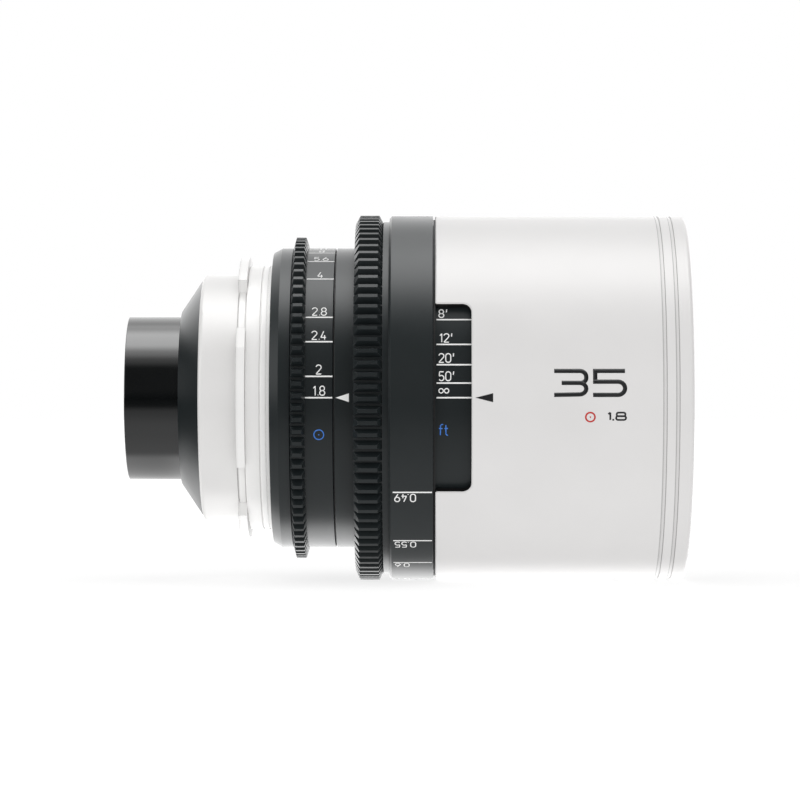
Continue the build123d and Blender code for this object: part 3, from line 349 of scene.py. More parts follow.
def coated_steel():
    return finish("coated_blade_steel", (0.02, 0.02, 0.022), (0.03, 0.03, 0.032), (0.08, 0.08, 0.085),
                  roughness=0.5, drift=0.06, metallic=0.3, grain=9.0)


def slip_polymer():
    return finish("slip_washer_polymer", (0.018, 0.018, 0.018), (0.026, 0.026, 0.026), (0.05, 0.05, 0.05),
                  roughness=0.55, grain=4.0, relief=0.01 * mm)


brass, oxide, blade_coat, washer = turned_brass(), oxide_steel(), coated_steel(), slip_polymer()
print("made", [made.name for made in (brass, oxide, blade_coat, washer)])


# %% [markdown]
# Lens elements are glass with a thin film on each face. The film is a quarter of a wave of light thick,
# about 0.1 thousandth of a millimetre, so it cancels most of the reflection and tints the rest blue or
# purple. Principled has that film on sockets of its own. The film's index is near the root of the
# glass's, which stands in for the several layers of a real coating. A noise lets its thickness drift a
# little over the face. The glass itself takes a very faint dust through its roughness.

# %% Coated glass
def coated_glass():
    material, tree, shader = new_finish("coated_glass")
    place = object_place(tree)
    dust, drift = noise(tree, place, 0.25 / mm, 2.0), noise(tree, place, 0.03 / mm, 2.0)
    tone = mixed(tree, spread(tree, drift, 0.0, 1.0), (0.93, 0.97, 0.98), (0.96, 0.95, 0.98))
    wire(tree, shader, {"Base Color": tone, "Roughness": spread(tree, dust, 0.0, 0.006, 0.4, 0.8),
                        "Transmission Weight": 1.0, "IOR": 1.52, "Thin Film IOR": 1.25,
                        "Thin Film Thickness": spread(tree, drift, 108.0, 136.0)})
    return material


glass = coated_glass()
print("made", glass.name)

# %% [markdown]
# The record names a finish for every CAD node. The solids are right as they are, so each keeps its mesh
# and takes its material through its own slots. Three nodes differ from the rest of their slot: the rear
# tube is turned, the rim has grooves of its own, and the spacer ring is painted paler, painted light
# where the black rear body beside it shades it.

# %% Finishes on the CAD nodes
finish_of_slot = {"black_anodised": black, "matt_black": matt_black, "silver_anodised": pearl,
                  "mount_steel": steel, "roller_brass": brass, "screw_steel": oxide,
                  "blade_steel": blade_coat, "washer_polymer": washer, "coated_glass": glass}
own_finish = {"rear_cell": tube_black, "front_ring": rim_pearl, "mount_spacer_ring": spacer_steel}
for row in record["subparts"]:
    target = nodes[row["node"]]
    chosen = own_finish.get(row["node"], finish_of_slot[row["material_slot"]])
    if not target.material_slots:
        target.data.materials.append(chosen)
    for slot in target.material_slots:
        slot.material = chosen
print("dressed", len(record["subparts"]), "CAD nodes")


# %% [markdown]
# The glass elements, the dust seal and the pointers get their meshes from plain code. Each is a closed
# mesh whose faces look outwards. It stays at the origin, with its place in its points, and rides on a
# body of the model, so that it moves with the joint. What is round is turned on a lathe: an outline in
# X and radius, swept round the axis in fine even steps. A Screw modifier could do that as well, but code
# closes the poles of the glass exactly.

# %% Helpers for pieces
turn_steps = 144


def new_object(name, data):
    made = bpy.data.objects.new(name, data)
    bpy.context.scene.collection.objects.link(made)
    return made


def new_piece(mesh, body):
    piece = new_object(mesh.name, mesh)
    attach(piece, body)
    print(piece.name, "rides on", body, "with", len(mesh.polygons), "faces")
    return piece


def closed_mesh(name, work, material, smooth=False):
    """Mesh of a closed shape with its faces turned outwards."""
    bmesh.ops.recalc_face_normals(work, faces=work.faces)
    mesh = bpy.data.meshes.new(name)
    work.to_mesh(mesh)
    work.free()
    if smooth:
        mesh.shade_smooth()
        mesh.set_sharp_from_angle(angle=math.radians(30.0))
    mesh.materials.append(material)
    return mesh


def turned_rows(work, outline):
    """A row of points round the axis for each point of an outline."""
    turns = [math.tau * n / turn_steps for n in range(turn_steps)]
    return [[work.verts.new((x, r * math.cos(a), r * math.sin(a))) for a in turns] for x, r in outline]


def walls(work, rows):
    """Faces between each closed row of points and the next."""
    for low, high in zip(rows, rows[1:]):
        for n in range(len(low)):
            after = (n + 1) % len(low)
            work.faces.new([low[n], high[n], high[after], low[after]])


print("one turn has", turn_steps, "steps")


# %% [markdown]
# A glass face has to be smooth right to its middle, or each reflection in it shows the mesh. The CAD
# solids could be smoothed, but their triangles are uneven. So every element is turned again here: two
# arcs and a flat rim. The curves are those of the CAD, where a face's bulge is how far it stands out on
# the axis, in millimetres, or dips where it is negative.

# %% Glass elements
face_bulges = {"field_element": (0.5, 1.8), "rear_biconvex_element": (1.6, 1.6),
               "rear_meniscus_element": (-1.6, 0.9), "relay_element": (-1.2, 1.3),
               "focus_rear_element": (1.2, 1.8), "focus_front_element": (-2.2, -1.0),
               "third_element": (1.4, 2.0), "second_element": (-2.5, 2.6), "front_element": (-5.0, 4.4)}
element_rim = 2.0 * mm
face_steps = 18


def face_outline(place, bulge, clear, facing):
    """Points from the axis out to the rim of one face that looks rearwards (-1) or forwards (1)."""
    ball = (clear ** 2 + bulge ** 2) / (2 * abs(bulge))
    sign = facing * (1 if bulge > 0 else -1)
    radii = [clear * n / face_steps for n in range(face_steps + 1)]
    return [(place + facing * bulge - sign * (ball - math.sqrt(ball ** 2 - r ** 2)), r) for r in radii]


def lathed(name, outline, material):
    """Closed body turned from an outline that starts and ends on the axis."""
    work = bmesh.new()
    ends = [work.verts.new((x, 0.0, 0.0)) for x, r in (outline[0], outline[-1])]
    rows = turned_rows(work, outline[1:-1])
    walls(work, rows)
    for n in range(turn_steps):
        after = (n + 1) % turn_steps
        work.faces.new([ends[0], rows[0][n], rows[0][after]])
        work.faces.new([ends[1], rows[-1][after], rows[-1][n]])
    return closed_mesh(name, work, material, smooth=True)


body_of_node = {node: body for body, names in record["behaviour"]["bodies"].items() for node in names}
for node, (rear_bulge, front_bulge) in face_bulges.items():
    low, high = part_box(node)
    rear, front = low.x + max(0.0, rear_bulge) * mm, high.x - max(0.0, front_bulge) * mm
    clear = high.z - element_rim
    outline = face_outline(rear, rear_bulge * mm, clear, -1) + [(rear, high.z), (front, high.z)]
    outline += reversed(face_outline(front, front_bulge * mm, clear, 1))
    piece = new_piece(lathed(node + "_glass", outline, glass), body_of_node[node])
    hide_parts(node)


# %% [markdown]
# The marks are cut into the rings with a round cutter and filled with paint. A font's letters could be
# laid on instead, but a round cutter draws every figure as strokes of one width. So each figure here is
# a few lines and arcs in a box one unit high. Sharp corners are two strokes that meet, because one swept
# line would thin out in its corner.

# %% Figures as strokes
def arc(middle, size, start, end, steps=10):
    """Points on an ellipse about a middle, from one angle to another in degrees."""
    turns = [math.radians(start + (end - start) * n / steps) for n in range(steps + 1)]
    return [(middle[0] + size[0] * math.cos(a), middle[1] + size[1] * math.sin(a)) for a in turns]


wide, figure_gap = 0.56, 0.2
half = wide / 2
figure_strokes = {
    "0": [arc((half, 1 - half), (half, half), 0, 180) + arc((half, half), (half, half), 180, 360)
          + [(wide, 1 - half)]],
    "1": [[(0.12, 0.78), (0.34, 1.0)], [(0.32, 1.0), (0.32, 0.0)]],
    "2": [arc((half, 0.74), (half, 0.26), 170, -38) + [(0.02, 0.02)], [(0.0, 0.0), (wide, 0.0)]],
    "3": [arc((half, 0.75), (half * 0.94, 0.25), 155, -90), arc((half, 0.26), (half, 0.26), 90, -155)],
    "4": [[(0.3, 1.0), (0.0, 0.26)], [(-0.01, 0.26), (wide, 0.26)], [(0.4, 0.52), (0.4, 0.0)]],
    "5": [[(wide * 0.94, 1.0), (0.06, 1.0)], [(0.07, 1.0), (0.04, 0.56)],
          arc((half, 0.3), (half, 0.3), 142, -150)],
    "6": [arc((half, 0.3), (half, 0.3), 90, 450, 16), [(0.04, 0.42), (0.36, 1.0)]],
    "7": [[(0.0, 1.0), (wide, 1.0)], [(wide, 1.0), (0.14, 0.0)]],
    "8": [arc((half, 0.75), (half * 0.9, 0.25), -90, 270, 16), arc((half, 0.26), (half, 0.26), 90, 450, 16)],
    "9": [arc((half, 0.7), (half, 0.3), -90, 270, 16), [(wide - 0.04, 0.58), (wide - 0.36, 0.0)]],
    ".": [[(0.06, 0.0), (0.06, 0.08)]],
    "'": [[(0.12, 1.04), (0.08, 0.66)]],
    "f": [arc((0.3, 0.8), (0.16, 0.2), 60, 180) + [(0.14, 0.0)], [(0.0, 0.62), (0.34, 0.62)]],
    "t": [[(0.14, 0.95), (0.14, 0.18)] + arc((0.28, 0.18), (0.14, 0.18), 180, 290),
          [(0.0, 0.62), (0.34, 0.62)]],
    "far": [arc((0.24, 0.5), (0.24, 0.25), 30, 330, 14), arc((0.86, 0.5), (0.24, 0.25), -150, 150, 14),
            [(0.45, 0.625), (0.65, 0.375)], [(0.45, 0.375), (0.65, 0.625)]],
    "stop": [arc((0.45, 0.5), (0.42, 0.42), 0, 360, 24), [(0.4, 0.5), (0.5, 0.5)]]}
advance_of = {".": 0.24, "'": 0.22, "1": 0.56, "f": 0.5, "t": 0.5, "far": 1.3, "stop": 1.1}


def advance(word):
    """How far a figure moves the pen on."""
    return advance_of.get(word, wide + figure_gap)


def figures(words, place, height, stretch=1.0, turned_over=False):
    """Strokes of a row of figures on the flat, from their lower left corner, or turned right over."""
    strokes, pen = [], 0.0
    for word in words:
        for stroke in figure_strokes[word]:
            strokes.append([((pen + x) * height * stretch, y * height) for x, y in stroke])
        pen += advance(word)
    way = -1 if turned_over else 1
    return [[(place[0] + way * x, place[1] + way * y) for x, y in stroke] for stroke in strokes]


print("figures drawn:", len(figure_strokes))


# %% [markdown]
# A painted line is a thin strip of paint that follows a stroke over the ring. Bending each strip by hand
# would be slow, so a node tree sweeps a small flat section along the strokes and then wraps the flat
# drawing round the optical axis. Its inputs are the ring's radius, the line's width, the depth of the
# paint, half of which stands out, and the paint itself. One tree serves every scale, and the result is
# a plain mesh. The helpers also serve the other trees below.

# %% Helpers for node trees that make geometry
socket_kinds = {float: "NodeSocketFloat", int: "NodeSocketInt", type(None): "NodeSocketMaterial"}


def new_tree(name, inputs):
    """A tree, the sockets of its inputs, and the identifier that a modifier knows each input by."""
    tree = bpy.data.node_groups.new(name, "GeometryNodeTree")
    for way in ("INPUT", "OUTPUT"):
        tree.interface.new_socket("Geometry", in_out=way, socket_type="NodeSocketGeometry")
    identifiers = {}
    for label, value in inputs.items():
        socket = tree.interface.new_socket(label, in_out="INPUT", socket_type=socket_kinds[type(value)])
        identifiers[label] = socket.identifier
        if value is not None:
            socket.default_value = value
    return tree, add(tree, "NodeGroupInput").outputs, identifiers


def finish_tree(tree, geometry, material_socket):
    """Every tree ends the same way: real geometry, not instances, in one material."""
    real = add(tree, "GeometryNodeRealizeInstances", {"Geometry": geometry})
    painted = add(tree, "GeometryNodeSetMaterial", {"Geometry": real.outputs[0], "Material": material_socket})
    wire(tree, add(tree, "NodeGroupOutput"), {0: painted.outputs[0]})


def outward(mesh):
    """Merges doubles and turns every face of a closed mesh outwards."""
    work = bmesh.new()
    work.from_mesh(mesh)
    bmesh.ops.remove_doubles(work, verts=work.verts, dist=1e-7)
    bmesh.ops.recalc_face_normals(work, faces=work.faces)
    work.to_mesh(mesh)
    work.free()


def grown_piece(name, tree, identifiers, values, start_mesh, body, slot):
    """Runs a tree on a mesh, keeps the result as a plain mesh at the origin, and lets it ride."""
    worker = new_object(name + "_source", start_mesh)
    modifier = worker.modifiers.new("tree", "NODES")
    modifier.node_group = tree
    for label, value in values.items():
        modifier[identifiers[label]] = value
    graph = bpy.context.evaluated_depsgraph_get()
    mesh = bpy.data.meshes.new_from_object(worker.evaluated_get(graph))
    worker.modifiers.remove(modifier)
    bpy.data.objects.remove(worker)
    outward(mesh)
    mesh.name = name
    return new_piece(mesh, body)


print("a tree's inputs can be", sorted(socket_kinds.values()))


# %% [markdown]
# The tree for painted strokes makes two moves. First the strokes become curves, and a flat rectangle
# is swept along them. Then each point is moved: flat X stays along the axis, flat Y goes round the ring,
# and flat Z goes outwards. A Shrinkwrap modifier could lay strips on a ring too, but it would flatten
# their thickness.

# %% Tree that paints strokes on a ring
def wrap_round_axis(tree, geometry, radius):
    flat = split(tree, add(tree, "GeometryNodeInputPosition").outputs[0])
    angle = maths(tree, "DIVIDE", flat["Y"], radius)
    reach = maths(tree, "ADD", flat["Z"], radius)
    up = maths(tree, "MULTIPLY", reach, maths(tree, "SINE", angle))
    near = maths(tree, "MULTIPLY", reach, maths(tree, "COSINE", angle))
    place = add(tree, "ShaderNodeCombineXYZ",
                {"X": flat["X"], "Y": maths(tree, "MULTIPLY", near, -1.0), "Z": up})
    return add(tree, "GeometryNodeSetPosition",
               {"Geometry": geometry, "Position": place.outputs[0]}).outputs[0]


def painted_stroke_tree():
    tree, given, identifiers = new_tree("painted_strokes", {
        "Ring Radius": 30.0 * mm, "Line Width": 0.3 * mm, "Paint Depth": 0.04 * mm, "Paint": None})
    line = add(tree, "GeometryNodeMeshToCurve", {"Mesh": given["Geometry"]})
    level = add(tree, "GeometryNodeSetCurveNormal", {"Curve": line.outputs[0]}, mode="Z_UP")
    finer = add(tree, "GeometryNodeSubdivideCurve", {"Curve": level.outputs[0], "Cuts": 2})
    section = add(tree, "GeometryNodeCurvePrimitiveQuadrilateral",
                  {"Width": given["Line Width"], "Height": given["Paint Depth"]})
    swept = add(tree, "GeometryNodeCurveToMesh", {"Curve": finer.outputs[0],
                                                  "Profile Curve": section.outputs[0], "Fill Caps": True})
    finish_tree(tree, wrap_round_axis(tree, swept.outputs[0], given["Ring Radius"]), given["Paint"])
    return tree, identifiers


def stroke_mesh(strokes):
    """Wires of the strokes on the flat, which the tree turns into curves."""
    points, wires = [], []
    for stroke in strokes:
        closed = math.dist(stroke[0], stroke[-1]) < 1e-7
        kept = stroke[:-1] if closed else stroke
        first = len(points)
        points += [(x, y, 0.0) for x, y in kept]
        wires += [(first + n, first + n + 1) for n in range(len(kept) - 1)]
        if closed:
            wires.append((first + len(kept) - 1, first))
    mesh = bpy.data.meshes.new("strokes")
    mesh.from_pydata(points, wires, [])
    return mesh


paint_depth = 0.04 * mm
stroke_tree, stroke_identifiers = painted_stroke_tree()


def painted(name, strokes, radius, width, paint, body):
    """Strokes painted on a ring of a radius, as one piece on one body."""
    grown_piece(name, stroke_tree, stroke_identifiers,
                {"Ring Radius": radius, "Line Width": width, "Paint Depth": paint_depth, "Paint": paint},
                stroke_mesh(strokes), body, "washer_polymer")


print("stroke tree has", len(stroke_tree.nodes), "nodes")


# %% [markdown]
# The paint is thick enamel, rubbed into the cut and wiped level. It has a soft sheen and picks up a
# little dirt, which is its second tone. White serves the scales, blue marks the units, and the pale
# barrel has black marks and one red one.

# %% Enamel paints
def enamel(name, colour, dirt):
    return finish(name, colour, dirt, roughness=0.42, drift=0.06)


white_paint = enamel("white_enamel", (0.97, 0.97, 0.965), (0.91, 0.91, 0.9))
blue_paint = enamel("blue_enamel", (0.06, 0.22, 0.72), (0.05, 0.19, 0.62))
black_paint = enamel("black_enamel", (0.012, 0.013, 0.014), (0.018, 0.019, 0.02))
red_paint = enamel("red_enamel", (0.58, 0.035, 0.025), (0.5, 0.03, 0.022))
print("made four enamels")

# %% [markdown]
# The iris ring's scale gives the light stops. A line crosses the scale face at each stop, and its number
# stands above the line. The last line has no number, because a screw of the ring sits there. Their
# angles come from the photograph, up from the near side, and the last two follow its rule: the spacing
# shrinks towards the small stops as the iris does. The ring and the marks turn together.

# %% Iris scale
line_width, figure_width = 0.32 * mm, 0.235 * mm
figure_height, figure_lift = 1.95 * mm, 0.5 * mm
gear_length, line_rear_inset, line_front_inset = 3.1 * mm, 0.12 * mm, 0.08 * mm
sign_angle, sign_height, sign_half_width = -16.0, 2.5 * mm, 1.1 * mm
stop_angles = [("1.8", 0.0), ("2", 7.9), ("2.4", 21.2), ("2.8", 31.4), ("4", 50.9), ("5.6", 63.8),
               ("8", 73.5), ("11", 80.0), ("16", 85.2), ("22", 90.0)]


def around(angle, radius):
    """Length on a ring's surface from the near side up to an angle in degrees."""
    return math.radians(angle) * radius


def row_width(words, height):
    return (sum(advance(word) for word in words) - figure_gap) * height


def mark_lines(marks, rear_end, front_end, radius):
    """A line along the axis at the angle of each mark."""
    return [[(x, around(angle, radius)) for x in (rear_end, front_end)] for words, angle in marks]


def painted_scale(name, lines, strokes, radius, body):
    painted(name + "_lines", lines, radius, line_width, white_paint, body)
    painted(name + "_figures", strokes, radius, figure_width, white_paint, body)


scale_rear = iris_rear + gear_length
scale_middle = (scale_rear + iris_front) / 2
iris_lines = mark_lines(stop_angles, scale_rear + line_rear_inset, iris_front - line_front_inset,
                        scale_radius)
iris_figures = []
for word, angle in stop_angles[:-1]:
    corner = (scale_middle - row_width(word, figure_height) / 2, around(angle, scale_radius) + figure_lift)
    iris_figures += figures(word, corner, figure_height)
painted_scale("iris_scale", iris_lines, iris_figures, scale_radius, "iris_ring")
iris_sign = figures(["stop"], (scale_middle - sign_half_width, around(sign_angle, scale_radius)),
                    sign_height)
painted("iris_stop_sign", iris_sign, scale_radius, figure_width, blue_paint, "iris_ring")

# %% [markdown]
# The distance scale is on the sleeve inside the window, and turns with the focus ring. Far distances
# crowd together and near ones spread out: the ring's turn in degrees is about 58 divided by the distance
# in metres, less a little for the lens's own length. The angles could be typed in from the photograph,
# but one law gives them all, also those that the window hides.

# %% Distance scale in the window
foot = 0.3048
first_turn, turn_per_metre, metres_offset = 0.785, 58.476, 0.098
distance_height, unit_height, unit_angle = 1.9 * mm, 2.3 * mm, -12.0
window_rear, window_length, window_inset = barrel_rear + 0.25 * mm, 7.4 * mm, 0.5 * mm


def focus_angle(metres):
    """Turn of the focus ring from far to a distance in metres, in degrees."""
    return first_turn + turn_per_metre / (metres - metres_offset)


feet_marks = [(["far"], 0.0)] + [(list(f"{feet}'"), focus_angle(feet * foot)) for feet in
                                 (50, 20, 12, 8, 6, 5, 4, 3, 2.5, 2, 1.8, 1.7)]
feet_lines = mark_lines(feet_marks, window_rear, window_rear + window_length, window_scale_radius)
feet_figures = []
for words, angle in feet_marks:
    corner = (window_rear + window_inset, around(angle, window_scale_radius) + figure_lift)
    feet_figures += figures(words, corner, distance_height)
painted_scale("distance", feet_lines, feet_figures, window_scale_radius, "focus_ring")
unit_place = (window_rear + window_inset, around(unit_angle, window_scale_radius))
unit_sign = figures("ft", unit_place, unit_height)
painted("distance_unit", unit_sign, window_scale_radius, figure_width, blue_paint, "focus_ring")

# %% [markdown]
# The same distances are given in metres on the ring's grip, for someone who works from the far side, so
# their figures stand on their heads from here and hang from their lines. The scale is the same law,
# half a turn further round.

# %% Distance scale on the grip
grip_rear, grip_front = focus_front - 8.55 * mm, focus_front - 0.25 * mm
grip_inset, figure_drop = 0.4 * mm, 0.45 * mm
metre_marks = [(["far"], -180.0)] + [(f"{metres}", focus_angle(metres) - 180.0)
                                     for metres in (0.49, 0.55, 0.6, 0.7, 0.8, 1, 1.5, 2, 3, 5)]
metre_lines = mark_lines(metre_marks, grip_rear, grip_front, barrel_radius)
metre_figures = []
for words, angle in metre_marks:
    corner = (grip_rear + grip_inset + row_width(words, distance_height),
              around(angle, barrel_radius) - figure_drop)
    metre_figures += figures(words, corner, distance_height, turned_over=True)
painted_scale("metre", metre_lines, metre_figures, barrel_radius, "focus_ring")

# %% [markdown]
# The lens's own data stand on the near side of the front barrel, in black: a wide focal length figure,
# and the fastest stop below it with a small red sign. They are plain numbers, drawn wider than those of
# the scales, so they have strokes of their own. The same tree paints them, with a wider line.

# %% Numbers on the front barrel
widest = 1.16
figure_strokes |= {
    "wide 3": [[(0.0, 1.0)] + arc((widest - 0.24, 0.76), (0.24, 0.24), 90, 0)
               + arc((widest - 0.2, 0.7), (0.2, 0.2), 0, -90),
               [(0.27, 0.5)] + arc((widest - 0.24, 0.26), (0.24, 0.24), 90, -90) + [(0.0, 0.0)]],
    "wide 5": [[(widest, 1.0), (0.0, 1.0)], [(0.08, 1.0), (0.08, 0.47)],
               [(0.0, 0.55)] + arc((widest - 0.25, 0.275), (0.25, 0.275), 90, -90) + [(0.0, 0.0)]],
    "wide 1": [[(0.0, 0.8), (0.3, 1.0)], [(0.28, 1.0), (0.28, 0.0)]],
    "wide .": [[(0.06, -0.1), (0.06, 0.14)]],
    "wide 8": [arc((0.3, 0.75), (0.22, 0.25), 90, 270) + arc((1.05, 0.75), (0.22, 0.25), -90, 90)
               + [(0.3, 1.0)],
               arc((0.26, 0.26), (0.26, 0.26), 90, 270) + arc((1.09, 0.26), (0.26, 0.26), -90, 90)
               + [(0.26, 0.52)]]}
advance_of |= {"wide 3": widest + 0.245, "wide 5": widest + 0.245, "wide 1": 0.62, "wide .": 0.45,
               "wide 8": 1.6}
focal_place, focal_height, focal_line = (67.53 * mm, 0.59 * mm), 5.05 * mm, 0.9 * mm
stop_place, stop_height, stop_line = (78.9 * mm, around(-6.7, barrel_radius)), 1.54 * mm, 0.38 * mm
red_place, red_height, red_line = (74.1 * mm, around(-7.5, barrel_radius)), 2.3 * mm, 0.34 * mm
focal_figure = figures(["wide 3", "wide 5"], focal_place, focal_height, stretch=1.15)
stop_figure = figures(["wide 1", "wide .", "wide 8"], stop_place, stop_height)
red_sign = figures(["stop"], red_place, red_height)
painted("barrel_focal_figure", focal_figure, barrel_radius, focal_line, black_paint, "root")
painted("barrel_stop_figure", stop_figure, barrel_radius, stop_line, black_paint, "root")
painted("barrel_stop_sign", red_sign, barrel_radius, red_line, red_paint, "root")


# %% [markdown]
# Each scale is read at a pointer: a white triangle on the fixed ring beside the iris scale, and a black
# one on the barrel beside the window, with another on the far side for the metres. A filled triangle is
# an area, not a stroke, so it is built as a thin closed plate that is wrapped round the axis point by
# point.

# %% Pointers
def pointer(name, tip, base, half_height, radius, angle, paint):
    """Thin plate of paint: a triangle on the ring with its tip towards the mount."""
    columns, blunt_share, top, bottom = 6, 0.02, radius + 0.02 * mm, radius - 0.03 * mm
    section = [(top, -1), (top, 0), (top, 1), (bottom, 1), (bottom, 0), (bottom, -1)]
    work = bmesh.new()
    rows = []
    for column in range(columns + 1):
        share = column / columns
        half_turn = half_height * max(share, blunt_share) / radius
        turns = [(reach, math.radians(angle) + side * half_turn) for reach, side in section]
        rows.append([work.verts.new((tip + (base - tip) * share, -reach * math.cos(turn),
                                     reach * math.sin(turn))) for reach, turn in turns])
    walls(work, rows)
    for row in (rows[0], rows[-1]):
        work.faces.new([row[0], row[1], row[4], row[5]])
        work.faces.new([row[1], row[2], row[3], row[4]])
    new_piece(closed_mesh(name, work, paint), "root")


index_inset, index_pointer_length, index_half_height = 0.37 * mm, 2.8 * mm, 0.92 * mm
barrel_pointer_length, barrel_half_height = 3.7 * mm, 0.95 * mm
distance_tip, metre_tip = 51.0 * mm, barrel_rear + 0.5 * mm
iris_tip = index_rear + index_inset
pointer("iris_pointer", iris_tip, iris_tip + index_pointer_length, index_half_height, scale_radius, 0.0,
        white_paint)
pointer("distance_pointer", distance_tip, distance_tip + barrel_pointer_length, barrel_half_height,
        barrel_radius, 0.0, black_paint)
pointer("metre_pointer", metre_tip, metre_tip + barrel_pointer_length, barrel_half_height,
        barrel_radius, 180.0, black_paint)


# %% [markdown]
# Inside the front, the black funnel before the glass is cut into fine steps that trap stray light, and
# the rim has the thread for a filter. Both could be cut into the solids, but nothing that mates with the
# lens needs more than plain faces. So node trees lay them on: the steps are rings whose radius grows
# along the funnel, and the thread is a real helix. Both are small ridges with a diamond section.

# %% Light trap and filter thread
face_the_axis = (0.0, math.radians(90.0), 0.0)


def ridge_along(tree, line, given):
    """Ends a tree with a ridge that follows its line."""
    ridge = add(tree, "GeometryNodeCurvePrimitiveCircle", {"Resolution": 4, "Radius": given["Ridge Size"]})
    swept = add(tree, "GeometryNodeCurveToMesh", {"Curve": line, "Profile Curve": ridge.outputs[0],
                                                  "Fill Caps": True})
    finish_tree(tree, swept.outputs[0], given["Finish"])


def ring_stack_tree():
    tree, given, identifiers = new_tree("light_trap_rings", {
        "Count": 8, "Rear Place": 0.0, "Pitch": 1.0 * mm, "Rear Radius": 30.0 * mm,
        "Radius Growth": 0.5 * mm, "Ridge Size": 0.3 * mm, "Finish": None})
    start = add(tree, "ShaderNodeCombineXYZ", {"X": given["Rear Place"]})
    step = add(tree, "ShaderNodeCombineXYZ", {"X": given["Pitch"]})
    row = add(tree, "GeometryNodeMeshLine", {"Count": given["Count"], "Start Location": start.outputs[0],
                                             "Offset": step.outputs[0]})
    order = add(tree, "GeometryNodeInputIndex").outputs[0]
    grown = maths(tree, "MULTIPLY_ADD", order, given["Radius Growth"], given["Rear Radius"])
    circle = add(tree, "GeometryNodeCurvePrimitiveCircle", {"Resolution": 160, "Radius": 1.0})
    placed = add(tree, "GeometryNodeInstanceOnPoints",
                 {"Points": row.outputs[0], "Instance": circle.outputs[0], "Rotation": face_the_axis,
                  "Scale": grown})
    real = add(tree, "GeometryNodeRealizeInstances", {"Geometry": placed.outputs[0]})
    ridge_along(tree, real.outputs[0], given)
    return tree, identifiers


def thread_tree():
    tree, given, identifiers = new_tree("filter_thread", {
        "Turns": 5.0, "Radius": 38.0 * mm, "Length": 4.0 * mm, "Rear Place": 90.0 * mm,
        "Ridge Size": 0.3 * mm, "Finish": None})
    helix = add(tree, "GeometryNodeCurveSpiral",
                {"Resolution": 120, "Rotations": given["Turns"], "Start Radius": given["Radius"],
                 "End Radius": given["Radius"], "Height": given["Length"]})
    place = add(tree, "ShaderNodeCombineXYZ", {"X": given["Rear Place"]})
    laid = add(tree, "GeometryNodeTransform", {"Geometry": helix.outputs[0], "Translation": place.outputs[0],
                                               "Rotation": face_the_axis})
    ridge_along(tree, laid.outputs[0], given)
    return tree, identifiers


def seed_mesh():
    """One point: these trees make their own geometry and only need something to sit on."""
    mesh = bpy.data.meshes.new("seed")
    mesh.from_pydata([(0.0, 0.0, 0.0)], [], [])
    return mesh


bezel_low, bezel_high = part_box("front_bezel")
bezel_lip, bezel_rim, trap_count, trap_ridge = 2.0 * mm, 1.3 * mm, 9, 0.24 * mm
thread_turns, thread_length, thread_gap, thread_ridge = 4.6, 3.45 * mm, 0.4 * mm, 0.3 * mm
trap_rear_radius, trap_front_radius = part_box("front_element")[1].z - bezel_lip, bezel_high.z - bezel_rim
trap_pitch = (bezel_high.x - bezel_low.x) / (trap_count + 1)
trap_growth = (trap_front_radius - trap_rear_radius) / (trap_count + 1)
grown_piece("bezel_light_trap", *ring_stack_tree(),
            {"Count": trap_count, "Rear Place": bezel_low.x + trap_pitch, "Pitch": trap_pitch,
             "Rear Radius": trap_rear_radius + trap_growth, "Radius Growth": trap_growth,
             "Ridge Size": trap_ridge, "Finish": matt_black}, seed_mesh(), "root", "matt_black")
grown_piece("filter_thread_turns", *thread_tree(),
            {"Turns": thread_turns, "Radius": barrel_radius - filter_thread_depth,
             "Length": thread_length, "Rear Place": bezel_high.x + thread_gap,
             "Ridge Size": thread_ridge, "Finish": matt_black},
            seed_mesh(), "root", "silver_anodised")


# %% [markdown]
# A thin felt ring keeps dust out of the gap between the focus ring and the front barrel. It is glued to
# the barrel's rear face, and stops well below the surface, so the gap still shows as a dark line. It is
# a flat section on the same lathe as the glass, which is simpler than a torus that has to be squeezed.

# %% Dust seal
def hoop(name, rear, front, inner, outer, material):
    """Closed ring with a rectangular section."""
    work = bmesh.new()
    rows = turned_rows(work, [(rear, inner), (front, inner), (front, outer), (rear, outer)])
    walls(work, rows + rows[:1])
    return closed_mesh(name, work, material, smooth=True)


ring_clearance, sleeve_clearance, glue_gap, seal_depth = 0.06 * mm, 0.1 * mm, 0.01 * mm, 0.8 * mm
seal = hoop("dust_seal", focus_front + ring_clearance, barrel_rear - glue_gap,
            window_scale_radius + sleeve_clearance, barrel_radius - seal_depth, matt_black)
new_piece(seal, "root")


# %% [markdown]
# The lens lies on a plain pale table in a white studio. The floor is a diffuse face that also glows: to
# the lens's diffuse light it is mostly an even white glow, which lights the lens from below. To the camera
# most of it is plain white, and the rest still takes the lens's soft shadow. A plain white floor would
# wash out the black rings, so the glow that the lens mirrors in it differs: dark in front, where a studio
# has black cards, bright under and behind the lens, dark again beyond the mount's end and dimmer beyond
# the front.

